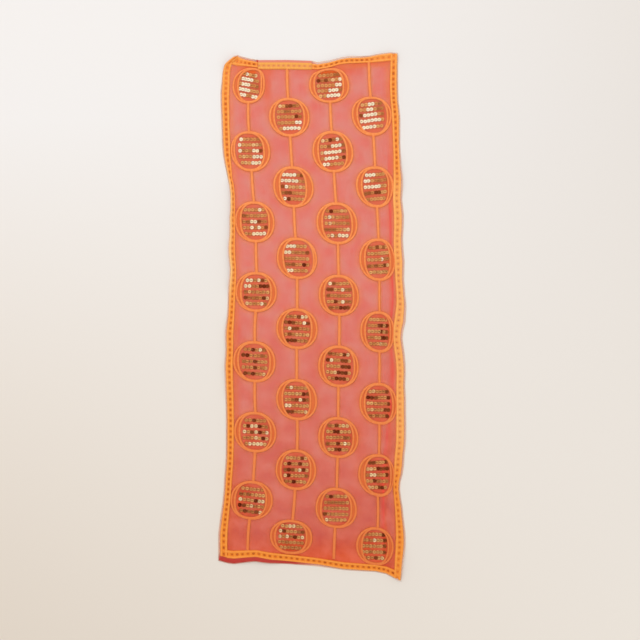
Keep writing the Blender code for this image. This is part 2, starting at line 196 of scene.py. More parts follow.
RIGHT_WAVE = (
    (0.0, 1.0), (25.0, 0.5), (45.0, 0.0), (60.0, 0.8), (80.0, 0.1), (100.0, 0.4), (112.0, 1.5), (120.0, 1.2),
    (130.0, 0.2), (143.0, 1.1), (152.0, 0.7), (163.0, -0.2), (172.0, 0.2), (183.0, 1.1), (198.0, -0.2), (210.0, 0.4),
    (220.0, 1.9), (234.0, 3.0), (241.0, 1.8), (248.0, 1.0), (262.0, 1.4), (276.0, 0.8), (288.0, 0.0), (300.0, 0.8),
    (340.0, 0.9), (348.0, 0.6), (358.0, 1.2), (366.0, 0.7), (372.0, -0.9), (379.0, -1.2), (386.0, -0.2), (393.0, 1.0),
    (407.0, 1.8), (415.0, 1.8), (430.0, 1.0), (440.0, 0.3), (455.0, 0.9),
)
print("rows:", len(SECTIONS), "folds:", len(FOLDS))

# %% Functions of the lie
def smooth_rows(along):
    """A cubic between each two rows of the table, whose slope at a row is that between its two neighbours."""
    knots, values = SECTIONS[:, 0], SECTIONS[:, 1:]
    slopes = np.gradient(values, knots, axis=0)
    row = np.clip(np.searchsorted(knots, along, side="right") - 1, 0, len(knots) - 2)
    span = (knots[row + 1] - knots[row])[:, None]
    part = (along[:, None] - knots[row][:, None]) / span
    start = 2 * part**3 - 3 * part**2 + 1
    start_slope = part**3 - 2 * part**2 + part
    end_slope = part**3 - part**2
    return (start * values[row] + (1 - start) * values[row + 1]
            + span * (start_slope * slopes[row] + end_slope * slopes[row + 1]))


def fold_height(across, along):
    """The highest ridge there: its height times half of one plus the cosine that falls over its skirt."""
    height = np.zeros_like(across)
    for u_1, v_1, u_2, v_2, rise, skirt in FOLDS:
        run = np.array((u_2 - u_1, v_2 - v_1))
        on_line = np.clip(((across - u_1) * run[0] + (along - v_1) * run[1]) / (run @ run), 0, 1)
        away = np.hypot(across - u_1 - on_line * run[0], along - v_1 - on_line * run[1])
        fallen = np.clip((away - FOLD_CORE) / skirt, 0, 1)
        height = np.maximum(height, rise * (0.5 + 0.5 * np.cos(np.pi * fallen)))
    return height


CREASES = 70
CREASE_FIELD = (6, 8), (158, 447)
CREASE_TURN, CREASE_TURN_SPREAD = np.pi / 2, 0.9
CREASE_LENGTHS, CREASE_HEIGHTS, CREASE_WIDTHS = (12, 46), (0.1, 0.38), (2.2, 5.0)

crease_draw = np.random.default_rng(11)
crease_from = crease_draw.uniform(*CREASE_FIELD, (CREASES, 2))
crease_turn = crease_draw.normal(CREASE_TURN, CREASE_TURN_SPREAD, CREASES)
crease_run = crease_draw.uniform(*CREASE_LENGTHS, CREASES)[:, None]
crease_run = crease_run * np.stack((np.cos(crease_turn), np.sin(crease_turn)), -1)
crease_rise = crease_draw.uniform(*CREASE_HEIGHTS, CREASES)
crease_wide = crease_draw.uniform(*CREASE_WIDTHS, CREASES)


def crease_height(across, along):
    """The sum of soft bells: each crease's rise times e to the minus square of the distance over its width."""
    away_u = across[:, None] - crease_from[:, 0]
    away_v = along[:, None] - crease_from[:, 1]
    on_line = (away_u * crease_run[:, 0] + away_v * crease_run[:, 1]) / (crease_run**2).sum(1)
    on_line = np.clip(on_line, 0, 1)
    away = np.hypot(away_u - on_line * crease_run[:, 0], away_v - on_line * crease_run[:, 1])
    return (crease_rise * np.exp(-(away / crease_wide) ** 2)).sum(1)


def lie(across, along):
    """Where a point of the cut lies: x straight between the named places of its row, y down the row's slope."""
    rows = smooth_rows(along)
    column = np.clip(np.searchsorted(ACROSS, across, side="right") - 1, 0, len(ACROSS) - 2)
    part = (across - ACROSS[column]) / (ACROSS[column + 1] - ACROSS[column])
    picked = np.arange(len(across))
    x = rows[picked, 2 + column] * (1 - part) + rows[picked, 3 + column] * part
    x += np.interp(along, *np.transpose(LEFT_WAVE)) * np.clip(1 - across / EDGE_WAVE_REACH, 0, 1)
    x += np.interp(along, *np.transpose(RIGHT_WAVE)) * np.clip(1 - (CUT_WIDTH - across) / EDGE_WAVE_REACH, 0, 1)
    slope = across / CUT_WIDTH - 0.5
    y = rows[:, 0] - rows[:, 1] * slope
    for edge, end, row in ((TOP_EDGE, 0.0, SECTIONS[0]), (BOTTOM_EDGE, CUT_LENGTH, SECTIONS[-1])):
        across_knots, edge_y = np.array(edge).T
        near = np.clip(1 - np.abs(along - end) / END_FADE, 0, 1)
        y = y + near**1.5 * (np.interp(across, across_knots, edge_y) - (row[1] - row[2] * slope))
    pulled = CORNER_PULL * np.clip(1 - np.hypot(across, along) / CORNER_REACH, 0, 1)
    return np.stack((x + pulled, y - pulled, fold_height(across, along) + crease_height(across, along)), axis=-1)


NORMAL_STEP = 0.4


def on_cloth(across, along, lift):
    """lie(across, along) plus lift along the normal, which is the cross product of a small step each way."""
    across, along, lift = np.broadcast_arrays(*(np.asarray(a, float) for a in (across, along, lift)))
    u, v = across.ravel(), along.ravel()
    by_u = lie(u + NORMAL_STEP, v) - lie(u - NORMAL_STEP, v)
    by_v = lie(u, v + NORMAL_STEP) - lie(u, v - NORMAL_STEP)
    normal = np.cross(by_v, by_u)
    normal /= np.linalg.norm(normal, axis=-1, keepdims=True)
    return (lie(u, v) + lift.ravel()[:, None] * normal).reshape(across.shape + (3,))


print("middle of the cloth lies at", on_cloth(CUT_WIDTH / 2, CUT_LENGTH / 2, 0.0).round(1))

# %% [markdown]
# ## From arrays to pieces
#
# Most trims here are one closed outline carried along a path: a cord, a rail, a rolled edge. One function
# works out all the faces of such a sweep at once, with a map in millimetres (around, along) for the thread
# pattern, and one puts the arrays into a mesh. Curve objects with a bevel could do it too, but not with a
# height that changes stitch by stitch.

# %% Sweep and mesh helpers
CORNERS = ((0, 0), (0, 1), (1, 1), (1, 0))


def sweep(points, around, along, closed=False):
    """Quads between neighbouring stations of a profile: points is (station, place on the profile, xyz).

    An open path gets a cap at each end, which joins each place on the profile to the one opposite."""
    stations, size = points.shape[:2]
    k = np.arange(stations if closed else stations - 1)[:, None]
    p = np.arange(size)[None, :]
    quads = np.stack([((k + dk) % stations) * size + (p + dp) % size for dk, dp in CORNERS], -1).reshape(-1, 4)
    uv = [np.stack(np.broadcast_arrays(around[p + dp], along[k + dk]), -1) for dk, dp in CORNERS]
    uv = np.stack(uv, -2).reshape(-1, 4, 2)
    if not closed:
        half = np.arange(size // 2 - 1)
        cap = np.stack((half + 1, half, size - 1 - half, size - 2 - half), -1)
        quads = np.concatenate((quads, cap, (stations - 1) * size + cap[:, ::-1]))
        ends = [np.stack((around[cap], np.full(cap.shape, v)), -1) for v in (along[0], along[-1])]
        uv = np.concatenate((uv, ends[0], ends[1][:, ::-1]))
    return points.reshape(-1, 3), quads, uv


def join(parts):
    """Several sweeps as one, with the corner numbers of each moved up past the points before it."""
    starts = np.cumsum([0] + [len(points) for points, _, _ in parts[:-1]])
    points, quads, uv = zip(*parts)
    return np.concatenate(points), np.concatenate([q + s for q, s in zip(quads, starts)]), np.concatenate(uv)


def add_piece(name, shape, finish, slot, replaces=(), shell=False, **values):
    """An object on the root body from (points, quads, map in mm), with one named number a point for each value.

    A closed shape whose signed volume comes out negative is inside out, so its faces are turned round."""
    points, quads, uv = shape
    corners = points[quads]
    volume = np.einsum("ij,ij->i", corners[:, 0], np.cross(corners[:, 1], corners[:, 2])).sum()
    volume += np.einsum("ij,ij->i", corners[:, 0], np.cross(corners[:, 2], corners[:, 3])).sum()
    if not shell and volume < 0:
        quads, uv = quads[:, ::-1], uv[:, ::-1]
    mesh = bpy.data.meshes.new(name)
    mesh.vertices.add(len(points))
    mesh.vertices.foreach_set("co", (points * MM).astype(np.float32).ravel())
    mesh.loops.add(quads.size)
    mesh.loops.foreach_set("vertex_index", quads.astype(np.int32).ravel())
    mesh.polygons.add(len(quads))
    mesh.polygons.foreach_set("loop_start", np.arange(0, quads.size, 4, dtype=np.int32))
    mesh.polygons.foreach_set("use_smooth", np.ones(len(quads), bool))
    mesh.update(calc_edges=True)
    mesh.uv_layers.new(name="UVMap").data.foreach_set("uv", uv.astype(np.float32).ravel())
    for key, numbers in values.items():
        mesh.attributes.new(key, "FLOAT", "POINT").data.foreach_set("value", numbers.astype(np.float32).ravel())
    mesh.materials.append(finish)
    piece = bpy.data.objects.new(name, mesh)
    bpy.context.scene.collection.objects.link(piece)
    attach(piece, "root")
    if replaces:
        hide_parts(*replaces)
    print(name, "-", len(quads), "faces")
    return piece


# %% [markdown]
# ## The chains' places
#
# Each chain is a column of seven double rings joined by stems. Both the net and the sequins need to know
# where the rings are, because the net is pulled tighter round them and painted redder and darker there,
# partly as painted shade, so their places come first.

# %% Places of the rings
COLUMNS = (26.0, 63.5, 101.0, 138.5)
FIRST_RINGS = (27.5, 58.5, 27.5, 57.6)
RINGS = 7
RING_PITCH = 62.0
OUTER_RING = np.array((17.5, 17.2))
INNER_RING = np.array((13.5, 16.5))
OUTER_SQUARE, INNER_SQUARE = 2.15, 2.45
LINE_HALF = 1.1
STEM_HALF = 1.4
RING_STATIONS = 96
# Each inner line lies a little off the middle of its ring and is a little wider or narrower than the next.
INNER_STRAY = 0.45

ring_across = np.repeat(COLUMNS, RINGS).reshape(4, RINGS)
ring_along = np.array(FIRST_RINGS)[:, None] + RING_PITCH * np.arange(RINGS)
ring_width, ring_length, ring_lean = np.ones((4, RINGS)), np.ones((4, RINGS)), np.zeros((4, RINGS))
# The last rings of two chains are caught under the border, and the very first one is pulled narrow.
ring_along[1, -1], ring_length[1, -1] = 429.8, 0.87
ring_along[3, -1], ring_length[3, -1] = 430.7, 0.98
ring_across[3, -1], ring_width[3, -1] = 137.6, 0.95
ring_width[0, 0], ring_lean[0, 0] = 0.85, 4.4
ring_length[0, 0], ring_along[0, 0] = 0.98, 27.7
inner_shift = np.random.default_rng(3).normal(0, INNER_STRAY, (2, 4, RINGS))


def ring_line(column, ring, radii, square):
    """A ring's line: (sin t, -cos t) times the radii, over the root of that power's sum, which makes it squarer.

    Its far half is pushed sideways by the lean times the square of cos t."""
    t = np.linspace(0, 2 * np.pi, RING_STATIONS, endpoint=False)
    reach = (np.abs(np.sin(t)) ** square + np.abs(np.cos(t)) ** square) ** (-1 / square)
    pushed = ring_lean[column, ring] * np.clip(np.cos(t), 0, 1) ** 2
    u = radii[0] * ring_width[column, ring] * reach * np.sin(t) + pushed
    v = -radii[1] * ring_length[column, ring] * reach * np.cos(t)
    return ring_across[column, ring] + u, ring_along[column, ring] + v


print("rings:", ring_across.size)

# %% [markdown]
# ## The net
#
# The ground is polyester organza: a plain weave of fine clear filament, dyed coral, that lets the pale
# table through and looks redder where it is gathered by stitches or lies double. Its colour also carries
# painted shade, redder and darker inside the rings, along creases and towards the near end, and painted
# light at the raw edge. It is a grid of cut distances put through the lie, given a thin wall by Solidify.
# How close each point is to the stitching is kept as a number on the mesh, so that the finish can follow
# the embroidery.

# %% Finish of the organza
# Real threads lie 0.3 mm apart. They are drawn at 0.6 mm so that a close view can show them.
WEAVE_PITCH = 0.6
COVER_BETWEEN, COVER_ON_THREAD, COVER_MOST = 0.38, 0.58, 0.96

organza, tree, shader = start_finish("dyed_polyester_organza", roughness=0.55, sheen=0.1, gloss=0.25)
place = add_node(tree, "ShaderNodeUVMap", uv_map="UVMap")
axes = add_node(tree, "ShaderNodeSeparateXYZ", {0: place})
threads = [add_node(tree, "ShaderNodeMath", {0: axes.outputs[k], 1: 2 * np.pi / WEAVE_PITCH}, operation="MULTIPLY")
           for k in (0, 1)]
threads = [add_node(tree, "ShaderNodeMath", {0: thread}, operation="SINE") for thread in threads]
weave = add_node(tree, "ShaderNodeMath", {0: threads[0], 1: threads[1]}, operation="MAXIMUM")
patches = add_node(tree, "ShaderNodeTexNoise", {"Vector": place, "Scale": 0.055, "Detail": 3.0, "Roughness": 0.55})
slubs = add_node(tree, "ShaderNodeMapping", {"Vector": place, "Scale": (0.9, 0.05, 1.0)})
slubs = add_node(tree, "ShaderNodeTexNoise", {"Vector": slubs, "Scale": 1.0, "Detail": 2.0})
ground = add_node(tree, "ShaderNodeValToRGB", {0: patches.outputs["Fac"]},
                  steps=((0.34, "#F28C7C"), (0.5, "#F57E6C"), (0.66, "#F66C5A")))
streaked = add_node(tree, "ShaderNodeMapRange", {0: slubs.outputs["Fac"], 1: 0.4, 2: 0.7, 3: 0.0, 4: 0.4})
ground = add_node(tree, "ShaderNodeMix", {0: streaked, 6: ground, 7: linear("#F49486")}, data_type="RGBA")
# Painted shade: from the middle towards the near end the net turns darker and redder.
room = add_node(tree, "ShaderNodeTexCoord")
axes = add_node(tree, "ShaderNodeSeparateXYZ", {0: room.outputs["Object"]})
near_end = add_node(tree, "ShaderNodeMapRange", {0: axes.outputs[1], 1: 0.03, 2: -0.24, 3: 0.0, 4: 0.8})
near_end_shade = add_node(tree, "ShaderNodeValToRGB", {0: patches.outputs["Fac"]},
                     steps=((0.34, "#EE6A4E"), (0.5, "#E4522C"), (0.66, "#D43C20")))
# The marks below carry painted light and shade too: the red inside rings and along creases is partly painted shade,
# and the pale raw edge is partly painted light.
marks = {key: add_node(tree, "ShaderNodeAttribute", attribute_name=key).outputs["Fac"]
         for key in ("beside", "stitched", "pressed", "doubled", "loose")}
tone = ground.outputs[2]
for amount, colour in ((marks["beside"], linear("#FF9440")), (marks["stitched"], linear("#F2671E")),
                       (near_end, near_end_shade), (marks["pressed"], linear("#F8343C")),
                       (marks["doubled"], linear("#C6382C")), (marks["loose"], linear("#FFDCBC"))):
    tone = add_node(tree, "ShaderNodeMix", {0: amount, 6: tone, 7: colour}, data_type="RGBA").outputs[2]
cover = add_node(tree, "ShaderNodeMapRange", {0: weave, 1: -1.0, 2: 1.0, 3: COVER_BETWEEN, 4: COVER_ON_THREAD})
for key, more in (("stitched", 0.28), ("doubled", 0.3), ("pressed", 0.2), ("loose", -0.42)):
    cover = add_node(tree, "ShaderNodeMath", {0: marks[key], 1: more, 2: cover}, operation="MULTIPLY_ADD")
cover = add_node(tree, "ShaderNodeMath", {0: cover, 1: COVER_MOST}, operation="MINIMUM")
bump = add_node(tree, "ShaderNodeBump", {"Height": weave, "Strength": 0.35, "Distance": 0.00008})
set_inputs(tree, shader, {"Base Color": tone, "Alpha": cover, "Normal": bump})
print("organza:", len(tree.nodes), "nodes")

# %% Mesh of the net
NET_STEP = 2.0
NET_LIFT = 0.45
NET_WALL = 0.2
HALO = 2.6
STEM_HALO = 1.6
# How much warmer the net looks beside lines and beside stems, and how much redder inside a ring, where
# the net is partly drawn tighter and partly painted with the shade of the sequins above it.
BESIDE_LINES, BESIDE_STEMS, INSIDE = 0.45, 0.5, 0.62
COVERED_FROM, COVERED_SKIRT = 1.08, 0.12
# From the edge: where the border's inner rail lies, and where the net starts to show beside the border.
RAIL_IN = 8.0
WITHIN_FROM, WITHIN_SKIRT = 2.0, 4.0
# Out to this distance from the raw edge the net turns pale: its weave is thinner there, and painted light keeps the
# edge from going dark.
LOOSE_EDGE = 2.2
# Between these places of the top edge the weave has come loose further in.
PALE_FROM, PALE_TO, PALE_MORE, PALE_SKIRT = 84.0, 134.0, 2.6, 6.0
# Beyond the bottom border the net lies double, up to this place across.
DOUBLED_ALONG, DOUBLED_ALONG_SKIRT = 450.0, 1.2
DOUBLED_TO, DOUBLED_SKIRT = 84.0, 16.0
# Redder places of the net; beside the last chain they are painted shadow along creases.
FLUSHES = (
    # across, along, reach across, reach along, strength of a place where the net looks redder
    (82.0, 447.0, 78.0, 14.0, 0.65),
    (118.0, 449.0, 32.0, 22.0, 0.4),
    (44.0, 30.0, 5.0, 26.0, 0.5),
    (30.0, 12.0, 16.0, 6.0, 0.7),
    (103.0, 13.0, 22.0, 5.0, 0.7),
    (135.0, 7.5, 24.0, 2.8, 0.6),
    (146.5, 428.0, 1.5, 16.0, 0.6),
    (156.0, 60.0, 3.0, 60.0, 0.3),
    (153.0, 125.0, 4.0, 22.0, 0.4),
    (150.8, 190.0, 2.5, 46.0, 0.4),
    (151.5, 270.0, 2.5, 40.0, 0.4),
    (149.0, 335.0, 3.0, 30.0, 0.45),
    (145.5, 400.0, 3.0, 36.0, 0.4),
    (10.0, 230.0, 3.0, 120.0, 0.25),
    (12.0, 410.0, 8.0, 30.0, 0.35),
    (82.0, 225.0, 8.0, 60.0, 0.15),
    (119.0, 330.0, 7.0, 60.0, 0.2),
)
# A fold that was pressed into the net beside the right border, where it lies double and looks crimson.
PRESSED_FOLD = np.array((
    # along, across, strength
    (80.0, 153.8, 0.0),
    (100.0, 153.3, 0.6),
    (200.0, 152.2, 0.7),
    (300.0, 151.6, 0.6),
    (335.0, 146.0, 0.4),
    (370.0, 143.9, 0.7),
    (420.0, 143.6, 0.45),
    (436.0, 143.5, 0.0),
))
PRESSED_REACH = 1.2


def closeness(across, along):
    """How warm, how red and how pale a point of the net looks, as three numbers from zero to one.

    Warm falls as e to the minus square of the distance to the nearest stitches over HALO. Red is INSIDE within a
    ring, partly painted shade under the sequins, and each flush adds a bell of its own, beside the last chain
    as painted shadow along creases. The third is one at the raw edge, where the weave is thinner and painted
    light is added, and zero LOOSE_EDGE further in."""
    u, v = across[..., None], along[..., None]
    ring_u, ring_v = ring_across.ravel(), ring_along.ravel()
    wide, stretch = ring_width.ravel(), ring_length.ravel()
    outward = np.hypot((u - ring_u) / (OUTER_RING[0] * wide), (v - ring_v) / (OUTER_RING[1] * stretch))
    to_ring = (np.abs(outward - 1) * OUTER_RING.mean()).min(-1)
    inside = np.hypot((u - ring_u) / (INNER_RING[0] * wide), (v - ring_v) / (INNER_RING[1] * stretch)).min(-1)
    from_edge = np.minimum.reduce((across, CUT_WIDTH - across, along, CUT_LENGTH - along))
    within = np.clip((from_edge - WITHIN_FROM) / WITHIN_SKIRT, 0, 1)
    nearest = np.minimum(to_ring, np.abs(from_edge - RAIL_IN))
    near_line = np.exp(-((np.clip(nearest - LINE_HALF, 0, None) / HALO) ** 2)) * within
    to_stem = np.abs(u - np.array(COLUMNS)).min(-1) - STEM_HALF
    near_stem = np.exp(-((np.clip(to_stem, 0, None) / STEM_HALO) ** 2))
    near = np.maximum(BESIDE_LINES * near_line, BESIDE_STEMS * near_stem)
    covered = np.clip((COVERED_FROM - inside) / COVERED_SKIRT, 0, 1)
    red = INSIDE * covered
    for place_u, place_v, reach_u, reach_v, strength in FLUSHES:
        away = ((across - place_u) / reach_u) ** 2 + ((along - place_v) / reach_v) ** 2
        red = red + strength * np.exp(-away) * within
    drawn = np.clip(np.minimum(across - PALE_FROM, PALE_TO - across) / PALE_SKIRT, 0, 1) * (along < RAIL_IN)
    loose = np.clip(1 - from_edge / (LOOSE_EDGE + PALE_MORE * drawn), 0, 1)
    return near * (1 - covered), np.clip(red, 0, 1), loose


def net_grid():
    """Places across and along at even steps, their numbers as quads that face up, and the cut as the map."""
    across = np.linspace(0, CUT_WIDTH, round(CUT_WIDTH / NET_STEP) + 1)
    along = np.linspace(0, CUT_LENGTH, round(CUT_LENGTH / NET_STEP) + 1)
    u, v = np.meshgrid(across, along, indexing="ij")
    number = np.arange(u.size).reshape(u.shape)
    quads = np.stack((number[:-1, :-1], number[:-1, 1:], number[1:, 1:], number[1:, :-1]), -1).reshape(-1, 4)
    uv = np.stack((u.ravel(), v.ravel()), -1)[quads]
    return u, v, quads, uv


u, v, quads, uv = net_grid()
edge_strip = (np.clip((v - DOUBLED_ALONG) / DOUBLED_ALONG_SKIRT, 0, 1)
              * np.clip((DOUBLED_TO - u) / DOUBLED_SKIRT, 0, 1))
beside, red, loose = closeness(u, v)
fold_across, fold_strength = (np.interp(v, PRESSED_FOLD[:, 0], PRESSED_FOLD[:, k]) for k in (1, 2))
pressed = fold_strength * np.exp(-(((u - fold_across) / PRESSED_REACH) ** 2))
net = add_piece("organza_net", (on_cloth(u, v, NET_LIFT).reshape(-1, 3), quads, uv), organza, "net",
                replaces=("net_panel",), shell=True, beside=beside, stitched=red, doubled=edge_strip,
                pressed=pressed, loose=loose * (1 - edge_strip))
wall = net.modifiers.new("wall", "SOLIDIFY")
wall.thickness = NET_WALL * MM
wall.offset = 0.0

# %% [markdown]
# The raw edge of organza is turned in a narrow roll and whipped down. It is a thin round bead along all
# four sides, low enough to touch the table, which also gives the cloth its soft contact line. The roll is
# coloured pale as painted light, which keeps that line from going dark.

# %% Rolled edge
ROLL_HALF = 0.3
ROLL_INSET = 0.3
ROLL_SIDES = 8
ROLL_STATIONS = (110, 300)
# About the length of the step that closes the roll.
ROLL_LAST_STEP = 1.5


def rolled_edge():
    """A circle of eight points carried round the cut's four sides, a little inside the edge."""
    short, long = (np.linspace(0, 1, count, endpoint=False) for count in ROLL_STATIONS)
    u = np.concatenate((short, np.ones_like(long), 1 - short, np.zeros_like(long)))
    v = np.concatenate((np.zeros_like(short), long, np.ones_like(short), 1 - long))
    u, v = (part * (side - 2 * ROLL_INSET) + ROLL_INSET for part, side in ((u, CUT_WIDTH), (v, CUT_LENGTH)))
    centre = on_cloth(u, v, NET_LIFT)
    step = np.roll(centre, -1, axis=0) - np.roll(centre, 1, axis=0)
    step /= np.linalg.norm(step, axis=-1, keepdims=True)
    up = np.array((0.0, 0.0, 1.0))
    side = np.cross(step, up)
    turn = np.linspace(0, 2 * np.pi, ROLL_SIDES, endpoint=False)
    points = (centre[:, None] + ROLL_HALF * (np.cos(turn)[:, None] * side[:, None] + np.sin(turn)[:, None] * up))
    run = np.append(0, np.cumsum(np.linalg.norm(np.diff(centre, axis=0), axis=-1)))
    around = np.linspace(0, 2 * np.pi * ROLL_HALF, ROLL_SIDES + 1)
    return sweep(points, around, np.append(run, run[-1] + ROLL_LAST_STEP), closed=True)


whipped_edge, tree, shader = start_finish("whipped_organza_edge", roughness=0.6, sheen=0.2)
place = add_node(tree, "ShaderNodeUVMap", uv_map="UVMap")
whipping = add_node(tree, "ShaderNodeTexWave", {"Vector": place, "Scale": 0.35, "Distortion": 1.5, "Detail": 1.0},
                    bands_direction="Y")
# Painted light: the roll is paler than the net, so its shaded edge does not read dark.
shade = add_node(tree, "ShaderNodeValToRGB", {0: whipping.outputs["Fac"]},
                 steps=((0.0, "#F2C4A0"), (1.0, "#FCDCC0")))
bump = add_node(tree, "ShaderNodeBump", {"Height": whipping.outputs["Fac"], "Strength": 0.5, "Distance": 0.0001})
set_inputs(tree, shader, {"Base Color": shade, "Alpha": 0.45, "Normal": bump})
add_piece("net_edge_roll", rolled_edge(), whipped_edge, "net")

# %% [markdown]
# ## Satin stitch
#
# Rings, stems and border are worked in rayon embroidery thread laid side by side. Light runs along each
# thread, so satin stitch shows fine ribs across the line that is sewn, and a soft gloss. The ribs are
# a wave along the map. Their lighter and darker tones, and a slow noise that darkens some threads, are
# painted sheen; the sides of each cord, its hollows and the near end get painted shade.

# %% Finish of the satin stitch
# A wave texture at scale 1 repeats at this distance.
WAVE_LENGTH = 0.314
# Painted shade: towards the near end the thread turns to its darker colour by up to this share.
NEAR_END_SHADE = 0.55


def satin_stitch(name, light, middle, deep, shade_colour, near, pitch):
    """A finish in tones of one thread: ribs at that pitch in mm, drawn coarser than the real 0.25 mm.

    The tones over the ribs and from thread to thread are painted sheen. The colour turns to a colour of painted
    shade where the point's shade number rises to one, and to a darker painted shade at the near end."""
    made, tree, shader = start_finish(name, roughness=0.5, sheen=0.05, gloss=0.15)
    place = add_node(tree, "ShaderNodeUVMap", uv_map="UVMap")
    ribs = add_node(tree, "ShaderNodeTexWave", {"Vector": place, "Scale": WAVE_LENGTH / pitch, "Distortion": 0.8,
                                                "Detail": 1.0}, bands_direction="Y")
    strands = add_node(tree, "ShaderNodeMapping", {"Vector": place, "Scale": (0.25, 1.1, 1.0)})
    strands = add_node(tree, "ShaderNodeTexNoise", {"Vector": strands, "Scale": 1.0, "Detail": 3.0})
    # Painted sheen: the ribs and a slow noise from thread to thread move the colour between the tones.
    amount = add_node(tree, "ShaderNodeMath", {0: ribs.outputs["Fac"], 1: 0.3}, operation="MULTIPLY")
    amount = add_node(tree, "ShaderNodeMath", {0: strands.outputs["Fac"], 1: 0.8, 2: amount},
                      operation="MULTIPLY_ADD")
    tone = add_node(tree, "ShaderNodeValToRGB", {0: amount}, steps=((0.25, deep), (0.5, middle), (0.8, light)))
    depth = add_node(tree, "ShaderNodeAttribute", attribute_name="depth")
    tone = add_node(tree, "ShaderNodeMix", {0: depth.outputs["Fac"], 6: tone, 7: linear(shade_colour)}, data_type="RGBA")
    room = add_node(tree, "ShaderNodeTexCoord")
    axes = add_node(tree, "ShaderNodeSeparateXYZ", {0: room.outputs["Object"]})
    near_end = add_node(tree, "ShaderNodeMapRange", {0: axes.outputs[1], 1: 0.1, 2: -0.24, 4: NEAR_END_SHADE})
    tone = add_node(tree, "ShaderNodeMix", {0: near_end, 6: tone.outputs[2], 7: linear(near)}, data_type="RGBA")
    bump = add_node(tree, "ShaderNodeBump", {"Height": ribs.outputs["Fac"], "Strength": 0.5, "Distance": 0.00012})
    set_inputs(tree, shader, {"Normal": bump})
    return made, tree, shader, tone.outputs[2]


ring_thread, tree, shader, tone = satin_stitch("rayon_satin_stitch", "#FAA262", "#F48C4A", "#E67834", "#E2743E",
                                               "#D25E22", 0.5)
set_inputs(tree, shader, {"Base Color": tone})
print("ring thread:", len(tree.nodes), "nodes")

# %% [markdown]
# ## The chains of rings
#
# A satin stitched line is a low cord: wide, domed and flat beneath. Each ring is two of them, an outer
# oval and a narrower inner one that touch at the top and bottom, with a flat stitched filling in the two
# crescents between them. A stem is a straight cord. The profile is carried round each oval at a right angle
# to its own line, so that the cord keeps its width.

# %% Meshes of the chains
CORD_BASE = 0.4
LINE_HEIGHT, STEM_HEIGHT = 1.35, 1.2825
FILL_HEIGHT = 0.35
FOOT_DROP = 0.1
STEM_STATIONS = 18
TOP_STEM_STARTS = (None, 10.0, None, 5.6)
BOTTOM_STEM_END = 446.2
# A cord's height is a sine to this power, which makes it a little fuller than a half round.
ROUNDNESS = 0.8
# How deep each place of a cord's profile looks, as painted shade: its sides and foot are painted darker,
# its top is not.
CORD_DEPTH = np.array((1.0, 0.35, 0.0, 0.0, 0.0, 0.35, 1.0, 1.0))


def cord_profile(half_width, height):
    """Seven points of a flattened half round and one under its middle, and the distance around them."""
    turn = np.linspace(0, np.pi, 7)
    offset = np.append(-half_width * np.cos(turn), 0.0)
    rise = np.append(height * np.sin(turn) ** ROUNDNESS, -FOOT_DROP)
    steps = np.hypot(np.diff(offset, append=offset[0]), np.diff(rise, append=rise[0]))
    return offset, rise, np.append(0, np.cumsum(steps))


def distances(u, v, closed=False):
    """Distance along a path of cut places, with the way back to the start added where it is closed."""
    if closed:
        u, v = np.append(u, u[0]), np.append(v, v[0])
    return np.append(0, np.cumsum(np.hypot(np.diff(u), np.diff(v))))


def oval_cord(u, v, half_width, height):
    """A cord round a closed line: its profile is offset along each step of the line turned by a right angle."""
    out = np.stack((np.roll(v, -1) - np.roll(v, 1), np.roll(u, 1) - np.roll(u, -1)), -1)
    out /= np.linalg.norm(out, axis=-1, keepdims=True)
    offset, rise, around = cord_profile(half_width, height)
    points = on_cloth(u[:, None] + offset * out[:, :1], v[:, None] + offset * out[:, 1:], CORD_BASE + rise)
    return sweep(points, around, distances(u, v, closed=True), closed=True)


def filling(outer, inner):
    """The flat band between two closed lines: four places from one to the other on top, and the same below."""
    part = np.array((0.0, 1 / 3, 2 / 3, 1.0, 1.0, 2 / 3, 1 / 3, 0.0))
    lift = CORD_BASE + np.repeat((FILL_HEIGHT, -FOOT_DROP), 4)
    u = outer[0][:, None] * (1 - part) + inner[0][:, None] * part
    v = outer[1][:, None] * (1 - part) + inner[1][:, None] * part
    return sweep(on_cloth(u, v, lift), 4 * np.append(part, 0.0), distances(*outer, closed=True), closed=True)


def straight_cord(across, start, end, half_width, height, stations=STEM_STATIONS):
    """A cord that keeps its place across from one distance along to another."""
    v = np.linspace(start, end, stations)
    offset, rise, around = cord_profile(half_width, height)
    points = on_cloth(across + offset, v[:, None], CORD_BASE + rise)
    return sweep(points, around, v - v[0])


for column in range(4):
    cords, depths = [], []
    reach = OUTER_RING[1] * ring_length[column]
    tops, bottoms = ring_along[column] - reach, ring_along[column] + reach
    for ring in range(RINGS):
        outer = ring_line(column, ring, OUTER_RING, OUTER_SQUARE)
        inner = ring_line(column, ring, INNER_RING + (inner_shift[1, column, ring], 0.0), INNER_SQUARE)
        inner = inner[0] + inner_shift[0, column, ring], inner[1]
        cords += [oval_cord(*outer, LINE_HALF, LINE_HEIGHT), oval_cord(*inner, LINE_HALF, LINE_HEIGHT),
                  filling(outer, inner)]
        # The lines get painted shade at their sides, and the filling between them is painted in the shade colour all
        # over.
        depths += [np.tile(CORD_DEPTH, 2 * RING_STATIONS), np.ones(8 * RING_STATIONS)]
    starts, ends = list(bottoms[:-1]), list(tops[1:])
    if TOP_STEM_STARTS[column] is not None:
        starts, ends = [TOP_STEM_STARTS[column]] + starts, [tops[0]] + ends
    else:
        starts, ends = starts + [bottoms[-1]], ends + [BOTTOM_STEM_END]
    for start, end in zip(starts, ends):
        cords.append(straight_cord(COLUMNS[column], start, end, STEM_HALF, STEM_HEIGHT))
        depths.append(np.tile(CORD_DEPTH, STEM_STATIONS))
    name = f"chain_{column + 1}"
    add_piece("ring_" + name, join(cords), ring_thread, "thread", replaces=(name,), depth=np.concatenate(depths))

